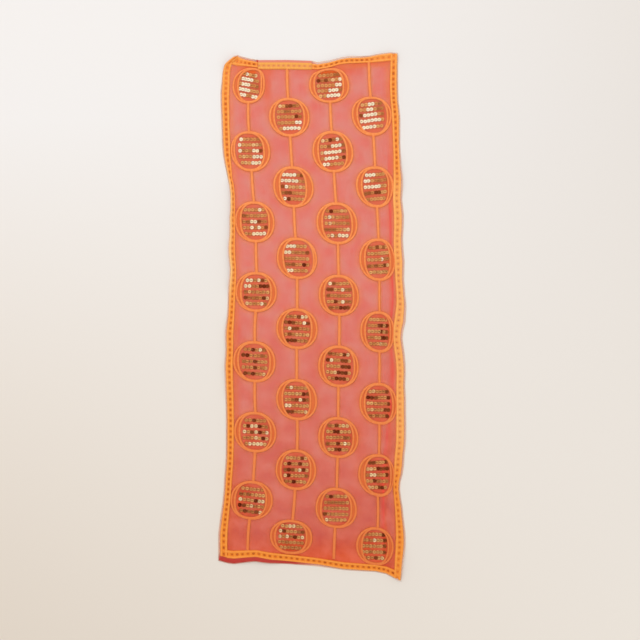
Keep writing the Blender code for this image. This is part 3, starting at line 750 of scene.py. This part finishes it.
# %% [markdown]
# ## The eyelet border
#
# The border is a ready-made trim about 6 mm wide: two raised satin rails, and between them a channel with
# small eyelets that stitches bridge. A height for each place across and along gives all of that in one
# surface, and a number on each point marks the eyelets, which are painted in the shade of the net below.
# The channel between the rails gets painted shade too.

# %% Finish of the border
def trim_finish(name, light, middle, deep, shade_colour, near, hole):
    """Satin stitch whose colour sinks to the painted shade of a hole where the point's eyelet number rises to one."""
    made, tree, shader, tone = satin_stitch(name, light, middle, deep, shade_colour, near, 0.55)
    eyelet = add_node(tree, "ShaderNodeAttribute", attribute_name="eyelet")
    holed = add_node(tree, "ShaderNodeMix", {0: eyelet.outputs["Fac"], 6: tone, 7: linear(hole)}, data_type="RGBA")
    return made, tree, shader, holed.outputs[2]


# The last colour is the painted shade in the eyelets, and the one before it painted shade at the near end.
border_thread, tree, shader, holed = trim_finish("rayon_eyelet_trim", "#FFB45C", "#FCA04A", "#EE8830", "#E87C24",
                                                 "#E8841C", "#A04A0A")
# Painted sheen: parts of the left and right borders are paler where the light catches them.
painted_sheen = add_node(tree, "ShaderNodeAttribute", attribute_name="painted_sheen")
holed = add_node(tree, "ShaderNodeMix", {0: painted_sheen.outputs["Fac"], 6: holed, 7: linear("#FACC84")}, data_type="RGBA")
set_inputs(tree, shader, {"Base Color": holed.outputs[2]})
print("border:", len(tree.nodes), "nodes")

# %% Meshes of the border
TRIM_WIDTH = 6.3
TRIM_PLACES = 22
TRIM_STEP = 0.4
TRIM_BASE = 0.5
RAIL_FROM_MIDDLE = 2.1
RAIL_HALF = 1.05
RAIL_HEIGHT = 1.25
EYELET_PITCH = 4.8
EYELET_RADII = (1.2, 1.6)
# How steeply an eyelet's pit falls, and which part of the height it takes away.
EYELET_STEEP, EYELET_DEEP = 1.3, 0.95
# How open the eyelets look by their painted shade: the mean, and a sine that varies it by this much and
# turns by this much for each one.
OPEN_MEAN, OPEN_VARIES, OPEN_TURN = 0.75, 0.25, 2.4
CHANNEL_HEIGHT, CHANNEL_SKIRT = 0.45, 0.4
BRIDGE_HEIGHT, BRIDGE_FROM, BRIDGE_SKIRT = 0.35, 1.3, 0.6
# The painted shade between the rails, how fast the rails lift it, and how much of it the bridges take away.
GROOVE_DEPTH, RAIL_LIFTS, BRIDGE_LIFTS, BRIDGE_ENDS = 1.15, 1.3, 0.5, 0.5
# How fast the painted sheen on the left border ends across its width.
SHEEN_NARROWS = 1.6


def trim_relief(from_middle, run):
    """Rails: a half round on each side. Channel: a floor with a bar across between eyelets. Eyelet: an oval pit.

    The third number is painted shade: one less the height of the rails, and half of that on the bars."""
    rail = np.sqrt(np.clip(1 - ((np.abs(from_middle) - RAIL_FROM_MIDDLE) / RAIL_HALF) ** 2, 0, 1))
    from_eyelet = (run / EYELET_PITCH % 1 - 0.5) * EYELET_PITCH
    reach = np.hypot(from_middle / EYELET_RADII[0], from_eyelet / EYELET_RADII[1])
    eyelet = np.clip(EYELET_STEEP * (1 - reach), 0, 1)
    eyelet = eyelet * eyelet * (3 - 2 * eyelet)
    bridge = np.clip((np.abs(from_eyelet) - BRIDGE_FROM) / BRIDGE_SKIRT, 0, 1)
    to_rail = RAIL_FROM_MIDDLE - np.abs(from_middle)
    channel = (CHANNEL_HEIGHT + BRIDGE_HEIGHT * bridge) * np.clip(to_rail / CHANNEL_SKIRT, 0, 1)
    height = np.maximum(rail * RAIL_HEIGHT, channel) * (1 - EYELET_DEEP * eyelet)
    inside = np.clip(to_rail / BRIDGE_ENDS, 0, 1)
    depth = np.clip(GROOVE_DEPTH - RAIL_LIFTS * rail, 0, 1) * (1 - BRIDGE_LIFTS * bridge * inside)
    return height, eyelet, depth


def over_foot(top, below):
    """The numbers on top of a band, then for as many places of its foot the one number below."""
    return np.append(top, np.full_like(top, below), axis=1)


def trim_band(margins, from_far, sideways):
    """The relief over a flat foot, along an edge of the cut.

    Margins is rows of (run, distance from the edge, width). The far edges are measured from the cut's far side."""
    knots, margin, width = np.transpose(margins)
    part = np.linspace(0, 1, TRIM_PLACES)
    run = np.linspace(knots[0], knots[-1], round((knots[-1] - knots[0]) / TRIM_STEP) + 1)
    height, eyelet, depth = trim_relief((part - 0.5) * TRIM_WIDTH, run[:, None])
    margin, width = (np.interp(run, knots, row)[:, None] for row in (margin, width))
    place = margin + width * np.append(part, part[::-1])
    if from_far:
        place = (CUT_LENGTH if sideways else CUT_WIDTH) - place
    lift = TRIM_BASE + over_foot(height, -FOOT_DROP)
    points = on_cloth(run[:, None], place, lift) if sideways else on_cloth(place, run[:, None], lift)
    around = np.append(np.append(part, 2 - part[::-1]) * TRIM_WIDTH, 2 * TRIM_WIDTH)
    outer = np.clip(1 - SHEEN_NARROWS * part, 0, 1) * np.ones_like(height)
    eyelet = eyelet * (OPEN_MEAN + OPEN_VARIES * np.sin(OPEN_TURN * np.floor(run / EYELET_PITCH)))[:, None]
    return sweep(points, around, run), {
        "eyelet": over_foot(eyelet, 0), "depth": over_foot(depth, 1), "outer": over_foot(outer, 0),
        "run": over_foot(run[:, None] + 0 * height, 0)}


BORDERS = (
    # side, from the far edge, sideways, then rows of run, distance from the edge and width
    ("left", False, False, (
        (1.0, 0.3, 6.6), (20.0, 0.5, 6.6), (32.0, 1.2, 6.3), (110.0, 1.2, 6.3), (130.0, 1.0, 6.6), (185.0, 1.3, 6.8),
        (235.0, 1.4, 6.4), (290.0, 1.2, 6.3), (350.0, 1.4, 6.3), (410.0, 1.6, 6.2), (450.6, 1.6, 6.3))),
    ("right", True, False, (
        (1.0, 0.7, 6.6), (24.0, 1.2, 6.4), (100.0, 1.4, 6.4), (150.0, 1.7, 6.8), (300.0, 1.7, 7.1),
        (400.0, 1.7, 6.6), (436.0, 1.4, 6.4), (454.0, 0.7, 6.6))),
    ("bottom", True, True, (
        (7.4, 3.8, 6.0), (35.0, 4.3, 6.0), (48.0, 3.2, 6.2), (70.0, 2.4, 6.2), (88.0, 1.9, 6.0), (108.0, 1.0, 6.1),
        (158.2, 0.8, 6.2))),
    ("top_left", False, True, ((6.8, 0.5, 8.6), (14.0, 1.6, 7.8), (24.0, 2.3, 6.8), (34.8, 2.4, 7.0))),
    ("top_right", False, True, (
        (85.7, 3.6, 6.8), (98.0, 3.0, 6.3), (110.0, 1.7, 5.3), (134.0, 1.5, 5.1), (148.0, 0.8, 5.9),
        (157.8, 0.7, 6.0))),
)
# The outer half of the left border is painted paler between these places, as painted sheen. The right one
# gets a little painted sheen over the rows of run and share in the table below.
SHEEN_FROM, SHEEN_TO, SHEEN_SKIRT, SHEEN_MOST = 118.0, 205.0, 26.0, 0.75
RIGHT_SHEEN = ((100.0, 0.0), (125.0, 0.28), (330.0, 0.28), (370.0, 0.0))
# How much painted shade the eyelets and the channel get, as rows of run and share: where the trim is
# pulled flat the eyelets close.
EYELETS_OPEN = {
    "left": ((0.0, 0.1), (30.0, 0.25), (45.0, 0.8), (300.0, 0.8), (360.0, 1.0)),
    "right": ((0.0, 0.0), (6.0, 0.2), (12.0, 0.85), (105.0, 0.8), (125.0, 0.62), (330.0, 0.6), (400.0, 0.55),
              (425.0, 0.7), (446.0, 0.3)),
    "bottom": ((0.0, 1.0), (157.0, 1.0)),
    "top_left": ((0.0, 0.0), (18.0, 0.1), (24.0, 1.0)),
    "top_right": ((80.0, 0.5), (100.0, 0.8), (138.0, 0.9), (145.0, 0.15)),
}


for side, from_far, sideways, margins in BORDERS:
    shape, values = trim_band(margins, from_far, sideways)
    run, outer = values.pop("run"), values.pop("outer")
    away = np.clip(np.maximum(SHEEN_FROM - run, run - SHEEN_TO) / SHEEN_SKIRT, 0, 1)
    right_sheen = np.interp(run, *np.transpose(RIGHT_SHEEN))
    values["painted_sheen"] = {"left": SHEEN_MOST * outer * (1 - away), "right": right_sheen}.get(side, 0 * outer)
    open_here = np.interp(run, *np.transpose(EYELETS_OPEN[side]))
    values["eyelet"] *= open_here
    values["depth"] *= 0.5 + 0.5 * open_here
    add_piece("eyelet_border_" + side, shape, border_thread, "border", replaces=("border_" + side,), **values)

# %% [markdown]
# At the top a stretch of the cloth is turned over onto its face, so the paler back of the border shows
# there, with a strip of doubled net between it and the fold. It is the same trim with less relief, on a
# second layer of net that is rounded at the fold.

# %% Stretch that is turned over
TURNED_FROM, TURNED_TO = 35.0, 85.5
TURNED_OUTER, TURNED_INNER = 0.3, 11.1
TURNED_TRIM = 3.2
TURNED_WIDTH = 7.8
TURNED_PLACES = 34
# The layer of net rises over its first part, like a quarter of an ellipse, and falls at its inner edge.
LAYER_HEIGHT, LAYER_ROUND_TO, LAYER_ROUND, LAYER_END = 0.75, 1.1, 0.9, 0.5
# How much of the trim's relief and of its painted shade shows on its back.
BACK_RELIEF, BACK_DEPTH = 0.4, 0.5


def turned_stretch():
    """A rounded fold, a level strip of net, and the trim's relief less high, over a flat foot."""
    along = np.linspace(TURNED_OUTER, TURNED_INNER, TURNED_PLACES)
    run = np.linspace(TURNED_FROM, TURNED_TO, round((TURNED_TO - TURNED_FROM) / TRIM_STEP) + 1)
    from_middle = (along - TURNED_TRIM - TURNED_WIDTH / 2) * TRIM_WIDTH / TURNED_WIDTH
    relief, eyelet, depth = trim_relief(from_middle, run[:, None])
    round_part = ((LAYER_ROUND_TO - along) / LAYER_ROUND).clip(0, 1)
    layer = LAYER_HEIGHT * np.sqrt(np.clip(1 - round_part**2, 0, 1))
    layer = layer * np.clip((TURNED_INNER - along) / LAYER_END, 0, 1) ** 0.5
    rise = layer + BACK_RELIEF * relief
    net_part = np.clip((TURNED_TRIM - along) / CHANNEL_SKIRT, 0, 1) + 0 * rise
    points = on_cloth(run[:, None], np.append(along, along[::-1]), TRIM_BASE + over_foot(rise, -FOOT_DROP))
    around = np.concatenate((along, 2 * TURNED_INNER - along[::-1], [2 * TURNED_INNER]))
    return sweep(points, around, run), {
        "eyelet": over_foot(eyelet, 0), "depth": over_foot(BACK_DEPTH * depth, 1),
        "net_part": over_foot(net_part, 0)}


# The last colour is the painted shade in the eyelets, paler on the back of the trim.
border_back, tree, shader, holed = trim_finish("back_of_eyelet_trim", "#F8B45E", "#F2A44A", "#E2903C", "#E08C44",
                                               "#E08C44", "#DC7C54")
net_part = add_node(tree, "ShaderNodeAttribute", attribute_name="net_part")
layered = add_node(tree, "ShaderNodeMix", {0: net_part.outputs["Fac"], 6: holed, 7: linear("#E2826C")},
                   data_type="RGBA")
set_inputs(tree, shader, {"Base Color": layered.outputs[2]})
shape, values = turned_stretch()
add_piece("border_turned_over", shape, border_back, "border_back", replaces=("border_top_turned",), **values)

# %% Knot at the fold
KNOT_ACROSS, KNOT_FROM, KNOT_TO = 34.2, 0.4, 3.0
KNOT_HALF, KNOT_HEIGHT = 0.85, 1.5
KNOT_STATIONS = 6

knot_thread, tree, shader, tone = satin_stitch("knotted_red_thread", "#E04A34", "#C83628", "#A0241C", "#A0241C",
                                               "#A0241C", 0.5)
set_inputs(tree, shader, {"Base Color": tone})
knot = straight_cord(KNOT_ACROSS, KNOT_FROM, KNOT_TO, KNOT_HALF, KNOT_HEIGHT, KNOT_STATIONS)
add_piece("thread_knot", knot, knot_thread, "thread", depth=np.tile(CORD_DEPTH, KNOT_STATIONS))

# %% [markdown]
# ## The sequins
#
# Cup sequins are stamped from metallised polyester film: a 3 mm disc with a small hole and a raised rim.
# Thirty-three of them fill each ring, in rows of six, seven, seven, seven and six. Each is sewn down a
# little askew, so some throw the light back and others show the dark room. Which of them do is also
# painted into their colour, as painted glints and painted dark reflections charted below in short runs,
# with the painted shadow of one crease. With 924 of them, each has only 48 faces, and the whole set is
# worked out as one array: a profile turned round an axis, then tilted and placed.

# %% Finish of the sequins
foil, tree, shader = start_finish("metallised_polyester_film", roughness=0.3, metallic=1.0)
tone = add_node(tree, "ShaderNodeAttribute", attribute_name="tone")
place = add_node(tree, "ShaderNodeTexCoord")
# A fine noise mottles the painted glints and reflections.
glint_mottle = add_node(tree, "ShaderNodeTexNoise", {"Vector": place.outputs["Object"], "Scale": 900.0, "Detail": 2.0})
amount = add_node(tree, "ShaderNodeMath", {0: glint_mottle.outputs["Fac"], 1: 0.16, 2: tone.outputs["Fac"]},
                  operation="MULTIPLY_ADD")
amount = add_node(tree, "ShaderNodeMath", {0: amount, 1: 0.08}, operation="SUBTRACT")
# The ramp runs from painted dark reflections through bronze to painted cream glints.
shade = add_node(tree, "ShaderNodeValToRGB", {0: amount}, steps=(
    (0.0, "#681E0A"), (0.2, "#985028"), (0.42, "#D88C50"), (0.62, "#E8AA68"), (0.82, "#FFE0AE"), (1.0, "#FFF0D2")))
set_inputs(tree, shader, {"Base Color": shade})
print("foil:", len(tree.nodes), "nodes")

# %% Meshes of the sequins
SEQUIN_ROWS = (6, 7, 7, 7, 6)
ROWS = len(SEQUIN_ROWS)
ROW_PITCH = 5.25
SEQUIN_PITCH = 3.25
SEQUIN_SIDES = 12
SEQUIN_PROFILE = np.array(((1.7, 0.34), (0.85, 0.06), (0.25, 0.04), (0.95, -0.02)))
SEQUIN_LIFT = 0.75
SHINGLE_LEAN, LEAN_SPREAD = (-0.1, 0.0, 0.0), 0.07
PLACE_SPREAD, SLOPE_SPREAD = 0.12, 0.015
# The tone of the bronze sequins: its mean, how much it varies by row and by sequin, and its drift along a row.
TONE_MEAN, ROW_TONES, SEQUIN_TONES, TONE_DRIFT = 0.48, 0.05, 0.07, 0.035
DARK_TONES = (0.02, 0.22)
# Painted glints start at this tone, get weaker by this much a ring towards the viewer, and vary this
# much each way.
GLINT_TONE, GLINT_WEAKENS, GLINT_VARIES = 0.98, 0.035, (-0.05, 0.03)
ROW_SLOPES = (
    # how far the rows of each ring run down to the right, as a slope: a line for each chain
    (0.2, 0.03, 0.0, 0.02, 0.04, 0.05, 0.12),
    (-0.03, 0.03, 0.0, 0.04, 0.05, 0.05, 0.04),
    (-0.08, -0.06, 0.0, 0.03, 0.07, 0.03, 0.03),
    (-0.12, -0.08, -0.03, 0.02, 0.0, 0.0, 0.03),
)
GLINTS = (
    # chain, ring, row, first and last sequin of each run painted as a glint that throws the light back at the camera
    (0, 0, 0, 2, 2), (0, 0, 1, 1, 4), (0, 0, 2, 1, 3), (0, 0, 3, 0, 3), (0, 0, 4, 0, 1), (0, 0, 4, 4, 5),
    (0, 1, 0, 0, 0), (0, 1, 1, 0, 0), (0, 1, 2, 0, 0), (0, 1, 2, 4, 5), (0, 1, 3, 4, 6), (0, 1, 4, 3, 5),
    (0, 2, 0, 4, 4), (0, 2, 2, 2, 3), (0, 2, 3, 2, 2), (0, 2, 3, 4, 4), (0, 2, 4, 2, 5), (0, 3, 0, 0, 1),
    (0, 3, 0, 3, 3), (0, 3, 1, 0, 1), (0, 3, 4, 4, 4), (0, 4, 0, 4, 4), (0, 5, 1, 2, 3), (0, 5, 2, 0, 0),
    (0, 5, 2, 3, 3), (0, 5, 2, 6, 6), (0, 5, 4, 1, 4), (0, 6, 2, 0, 0), (0, 6, 2, 5, 5), (0, 6, 3, 3, 3),
    (0, 6, 4, 5, 5), (1, 0, 3, 5, 6), (1, 0, 4, 1, 5), (1, 1, 0, 0, 3), (1, 1, 1, 0, 4), (1, 1, 2, 1, 1),
    (1, 1, 4, 0, 0), (1, 2, 0, 0, 2), (1, 2, 1, 0, 1), (1, 2, 4, 0, 1), (1, 3, 0, 4, 4), (1, 3, 1, 5, 5),
    (1, 3, 2, 1, 1), (1, 4, 0, 1, 1), (1, 4, 2, 4, 4), (1, 4, 3, 0, 1), (1, 5, 2, 4, 4), (1, 6, 0, 2, 3),
    (1, 6, 1, 0, 0), (1, 6, 2, 0, 0), (1, 6, 2, 2, 2), (1, 6, 2, 6, 6), (2, 0, 1, 6, 6), (2, 0, 2, 5, 6),
    (2, 0, 3, 3, 5), (2, 0, 4, 2, 5), (2, 1, 0, 4, 4), (2, 1, 1, 3, 5), (2, 1, 2, 1, 5), (2, 1, 3, 1, 4),
    (2, 1, 4, 0, 1), (2, 2, 1, 1, 1), (2, 2, 4, 1, 1), (2, 2, 4, 3, 5), (2, 3, 0, 0, 0), (2, 3, 1, 4, 4),
    (2, 3, 3, 4, 4), (2, 4, 1, 1, 1), (2, 5, 3, 5, 5), (2, 6, 4, 0, 0), (3, 0, 0, 2, 3), (3, 0, 1, 2, 3),
    (3, 0, 2, 1, 4), (3, 0, 3, 0, 5), (3, 0, 4, 0, 3), (3, 1, 0, 0, 2), (3, 1, 1, 0, 1), (3, 1, 2, 0, 4),
    (3, 2, 2, 4, 4), (3, 5, 2, 1, 2), (3, 6, 1, 3, 3),
)
DARK_RUNS = (
    # the same for each run painted dark, as the reflection of a dark part of the room, and beside the crease of
    # the last chain as its shadow
    (0, 1, 2, 6, 6), (0, 2, 2, 4, 4), (0, 3, 0, 4, 4), (0, 3, 1, 4, 5), (0, 3, 3, 5, 5), (0, 4, 0, 2, 2),
    (0, 4, 1, 0, 1), (0, 4, 2, 3, 3), (0, 4, 3, 3, 3), (0, 4, 4, 2, 2), (0, 5, 0, 2, 2), (0, 5, 1, 1, 1),
    (0, 5, 1, 4, 4), (0, 5, 2, 2, 2), (0, 5, 2, 4, 4), (0, 5, 3, 5, 5), (0, 6, 2, 4, 4), (0, 6, 3, 0, 1),
    (0, 6, 4, 1, 1), (0, 6, 4, 4, 4), (1, 0, 0, 2, 3), (1, 0, 2, 5, 5), (1, 1, 2, 0, 0), (1, 1, 3, 2, 2),
    (1, 1, 4, 1, 1), (1, 2, 1, 6, 6), (1, 2, 3, 5, 5), (1, 3, 0, 3, 3), (1, 3, 1, 1, 1), (1, 3, 1, 6, 6),
    (1, 3, 2, 2, 3), (1, 3, 4, 0, 2), (1, 4, 1, 5, 6), (1, 4, 2, 3, 3), (1, 4, 2, 5, 5), (1, 4, 4, 0, 1),
    (1, 5, 0, 4, 4), (1, 5, 1, 1, 1), (1, 5, 1, 4, 4), (1, 5, 2, 1, 2), (1, 5, 2, 5, 5), (1, 5, 3, 1, 1),
    (1, 5, 4, 2, 2), (1, 6, 1, 1, 1), (1, 6, 1, 6, 6), (1, 6, 2, 4, 4), (2, 0, 1, 0, 0), (2, 0, 1, 2, 2),
    (2, 1, 0, 2, 2), (2, 1, 3, 6, 6), (2, 2, 0, 1, 1), (2, 3, 1, 0, 1), (2, 3, 3, 2, 2), (2, 3, 4, 3, 5),
    (2, 4, 0, 4, 4), (2, 4, 1, 0, 0), (2, 4, 1, 4, 5), (2, 4, 2, 4, 6), (2, 4, 3, 3, 5), (2, 4, 4, 2, 4),
    (2, 5, 0, 2, 2), (2, 5, 1, 2, 3), (2, 5, 3, 3, 3), (2, 5, 4, 2, 3), (2, 6, 0, 1, 1), (2, 6, 3, 0, 0),
    (3, 0, 2, 0, 0), (3, 1, 3, 3, 4), (3, 2, 0, 2, 2), (3, 2, 3, 5, 5), (3, 3, 1, 3, 4), (3, 3, 2, 4, 4),
    (3, 3, 3, 4, 6), (3, 3, 1, 6, 6), (3, 3, 2, 6, 6), (3, 4, 0, 5, 5), (3, 4, 1, 0, 1), (3, 4, 1, 6, 6),
    (3, 4, 2, 6, 6), (3, 4, 3, 5, 6), (3, 4, 4, 5, 5), (3, 5, 0, 0, 1), (3, 5, 0, 5, 5), (3, 5, 1, 3, 6),
    (3, 5, 2, 6, 6), (3, 5, 3, 2, 2), (3, 5, 4, 3, 4), (3, 6, 0, 5, 5), (3, 6, 4, 3, 3),
    (3, 6, 1, 6, 6), (3, 6, 2, 6, 6), (3, 6, 3, 6, 6),
)

draw = np.random.default_rng(5)
row_of = np.repeat(np.arange(ROWS), SEQUIN_ROWS)
number_in_row = np.concatenate([np.arange(count) for count in SEQUIN_ROWS])
place_in_row = number_in_row - (np.array(SEQUIN_ROWS)[row_of] - 1) / 2
row_crowding = np.ones((4, RINGS))
row_crowding[1, -1], row_crowding[3, -1] = 0.94, 1.04
row_start = np.zeros((4, RINGS))
row_start[3, 3:] = (-0.4, -0.4, 0.0, -1.4)
row_wide = np.ones((4, RINGS))
row_wide[0, 0] = 0.86

drop = np.interp(ring_along, SECTIONS[:, 0], SECTIONS[:, 2]) / CUT_WIDTH
row_slope = (np.array(ROW_SLOPES) - drop).reshape(-1, 1) + draw.normal(0, SLOPE_SPREAD, (ring_across.size, 1))
offset_across = row_wide.reshape(-1, 1) * place_in_row * SEQUIN_PITCH
shift = draw.normal(0, PLACE_SPREAD, (2, ring_across.size, row_of.size))
sequin_across = (ring_across + row_start).reshape(-1, 1) + offset_across + shift[0]
sequin_along = (ring_along.reshape(-1, 1) + (row_of - ROWS // 2) * ROW_PITCH * row_crowding.reshape(-1, 1)
                + offset_across * row_slope + shift[1])


def in_runs(runs):
    """Whether each sequin of each ring lies in one of the runs."""
    chain, ring, row, first, last = np.transpose(runs)[..., None]
    hit = (row_of == row) & (number_in_row >= first) & (number_in_row <= last)
    found = np.zeros((4, RINGS, row_of.size), bool)
    np.logical_or.at(found, (chain[:, 0], ring[:, 0]), hit)
    return found.reshape(-1, row_of.size)


ring_number = np.tile(np.arange(RINGS), 4)[:, None]
row_tones, sequin_tones = (ring_across.size, ROWS), sequin_across.shape
tone_value = TONE_MEAN + draw.normal(0, ROW_TONES, row_tones)[:, row_of]
tone_value = tone_value + draw.normal(0, SEQUIN_TONES, sequin_tones)
tone_value += draw.normal(0, TONE_DRIFT, row_tones)[:, row_of] * place_in_row
tone_value = np.where(in_runs(DARK_RUNS), draw.uniform(*DARK_TONES, sequin_tones), tone_value)
glint = GLINT_TONE - GLINT_WEAKENS * ring_number + draw.uniform(*GLINT_VARIES, sequin_tones)
tone_value = np.where(in_runs(GLINTS), glint, tone_value)


def sequin_mesh(across, along):
    """Each profile point (radius, rise) turned round the sequin's own axis, which leans a little off the net's."""
    centre = on_cloth(across, along, SEQUIN_LIFT)
    up = on_cloth(across, along, SEQUIN_LIFT + 1.0) - centre + draw.normal(0, LEAN_SPREAD, centre.shape)
    up += SHINGLE_LEAN
    up /= np.linalg.norm(up, axis=-1, keepdims=True)
    first = np.cross(up, (0.0, 1.0, 0.0))
    first /= np.linalg.norm(first, axis=-1, keepdims=True)
    second = np.cross(up, first)
    turn = np.arange(SEQUIN_SIDES) * 2 * np.pi / SEQUIN_SIDES
    spoke = np.cos(turn)[:, None] * first[:, None] + np.sin(turn)[:, None] * second[:, None]
    radius, rise = SEQUIN_PROFILE.T
    points = centre[:, None, None] + radius[:, None] * spoke[:, :, None] + rise[:, None] * up[:, None, None]
    around, along_turn = np.arange(len(SEQUIN_PROFILE) + 1.0), np.arange(SEQUIN_SIDES + 1.0)
    _, quads, uv = sweep(points[0], around, along_turn, closed=True)
    size = SEQUIN_SIDES * len(SEQUIN_PROFILE)
    starts = np.arange(len(centre))[:, None, None] * size
    return points.reshape(-1, 3), (quads + starts).reshape(-1, 4), np.tile(uv, (len(centre), 1, 1))


for column in range(4):
    rings = slice(column * RINGS, (column + 1) * RINGS)
    shape = sequin_mesh(sequin_across[rings].ravel(), sequin_along[rings].ravel())
    tones = np.repeat(tone_value[rings].ravel(), SEQUIN_SIDES * len(SEQUIN_PROFILE))
    add_piece(f"sequins_{column + 1}", shape, foil, "sequin", tone=tones)

# %% [markdown]
# Each row is sewn with one dark thread that runs beneath it from hole to hole. It shows as a dot in every
# hole, which is what makes the sequins read as little rings from above.

# %% Thread under the rows
sewing_thread, tree, shader = start_finish("spun_polyester_thread", roughness=0.7, sheen=0.2)
place = add_node(tree, "ShaderNodeUVMap", uv_map="UVMap")
twist = add_node(tree, "ShaderNodeTexWave", {"Vector": place, "Scale": 0.6, "Distortion": 0.5},
                 bands_direction="DIAGONAL")
shade = add_node(tree, "ShaderNodeValToRGB", {0: twist.outputs["Fac"]}, steps=((0.0, "#84401C"), (1.0, "#AA6A38")))
bump = add_node(tree, "ShaderNodeBump", {"Height": twist.outputs["Fac"], "Strength": 0.4, "Distance": 0.00006})
set_inputs(tree, shader, {"Base Color": shade, "Normal": bump})

THREAD_HALF, THREAD_AROUND = 0.45, 1.3
THREAD_PROFILE = np.array(((-THREAD_HALF, 0.0), (0.0, 0.22), (THREAD_HALF, 0.0), (0.0, -0.08)))
THREAD_LIFT, THREAD_END = 0.56, 0.9


def row_thread(across, along):
    """A flat diamond profile carried from the first sequin of a row to the last, through every hole."""
    offset, rise = THREAD_PROFILE.T
    u = np.linspace(across[0] - THREAD_END, across[-1] + THREAD_END, 3 * len(across))
    v = np.interp(u, across, along)
    points = on_cloth(u[:, None], v[:, None] + offset, THREAD_LIFT + rise)
    return sweep(points, np.linspace(0, THREAD_AROUND, len(offset) + 1), u - u[0])


threads = []
for ring in range(ring_across.size):
    for row in range(ROWS):
        sewn = row_of == row
        threads.append(row_thread(sequin_across[ring, sewn], sequin_along[ring, sewn]))
add_piece("sequin_thread", join(threads), sewing_thread, "thread")

# %% [markdown]
# ## Floor and light
#
# The cloth lies on a pale warm surface under soft light from the upper left. A broad light over the far
# half gives the upper sequins something bright to mirror, while those nearer the viewer mirror the plain
# room. The floor darkens a little towards the near left corner, as it does in the photograph; this is
# painted shade in its colour, which also darkens it a little towards the right and the near end.

# %% Floor
FLOOR_HALF = 2.5
# The floor changes over this half of the picture to each side, and from DARKER_FROM down to its near edge.
PICTURE_HALF = 0.28
DARKER_FROM = 0.17

table_board, tree, shader = start_finish("painted_table_board", roughness=0.8)
place = add_node(tree, "ShaderNodeTexCoord")
axes = add_node(tree, "ShaderNodeSeparateXYZ", {0: place.outputs["Object"]})
down = add_node(tree, "ShaderNodeMapRange", {0: axes.outputs[1], 1: DARKER_FROM, 2: -PICTURE_HALF})
rightward = add_node(tree, "ShaderNodeMapRange", {0: axes.outputs[0], 1: 0.0, 2: PICTURE_HALF})
leftward = add_node(tree, "ShaderNodeMapRange", {0: axes.outputs[0], 1: PICTURE_HALF, 2: -PICTURE_HALF})
leftward = add_node(tree, "ShaderNodeMath", {0: leftward, 1: down}, operation="MULTIPLY")
# Painted shade: the colour darkens towards the right, towards the near end, and most at the near left corner.
tone = linear("#E9E4E0")
for amount, colour in ((rightward, "#E3DCD5"), (down, "#E8DFD4"), (leftward, "#DBCEBF")):
    tone = add_node(tree, "ShaderNodeMix", {0: amount, 6: tone, 7: linear(colour)}, data_type="RGBA").outputs[2]
grain = add_node(tree, "ShaderNodeTexNoise", {"Vector": place.outputs["Object"], "Scale": 400.0, "Detail": 4.0})
bump = add_node(tree, "ShaderNodeBump", {"Height": grain.outputs["Fac"], "Strength": 0.05, "Distance": 0.0002})
set_inputs(tree, shader, {"Base Color": tone, "Normal": bump})

floor_mesh = bpy.data.meshes.new("floor")
floor_corners = [(x * FLOOR_HALF, y * FLOOR_HALF, 0) for x, y in ((-1, -1), (1, -1), (1, 1), (-1, 1))]
floor_mesh.from_pydata(floor_corners, [], [(0, 1, 2, 3)])
floor_mesh.materials.append(table_board)
floor = bpy.data.objects.new("floor", floor_mesh)
bpy.context.scene.collection.objects.link(floor)
print("floor side in m:", 2 * FLOOR_HALF)

# %% Lights
ROOM_LIGHT = 0.9
SOFTBOX_WATTS = 5.5
SOFTBOX_SIDE = 1.0
SOFTBOX_PLACE, SOFTBOX_TURN = (-0.3, 0.62, 1.3), (-0.42, -0.22, 0.0)

world = bpy.data.worlds.new("soft_room")
world.use_nodes = True
background = world.node_tree.nodes["Background"]
set_inputs(world.node_tree, background, {"Color": linear("#FDFEFF"), "Strength": ROOM_LIGHT})
bpy.context.scene.world = world

softbox_data = bpy.data.lights.new("softbox", "AREA")
softbox_data.size = SOFTBOX_SIDE
softbox_data.energy = SOFTBOX_WATTS
softbox = bpy.data.objects.new("softbox", softbox_data)
softbox.location = SOFTBOX_PLACE
softbox.rotation_euler = SOFTBOX_TURN
bpy.context.scene.collection.objects.link(softbox)
print("lights: one softbox and the room")
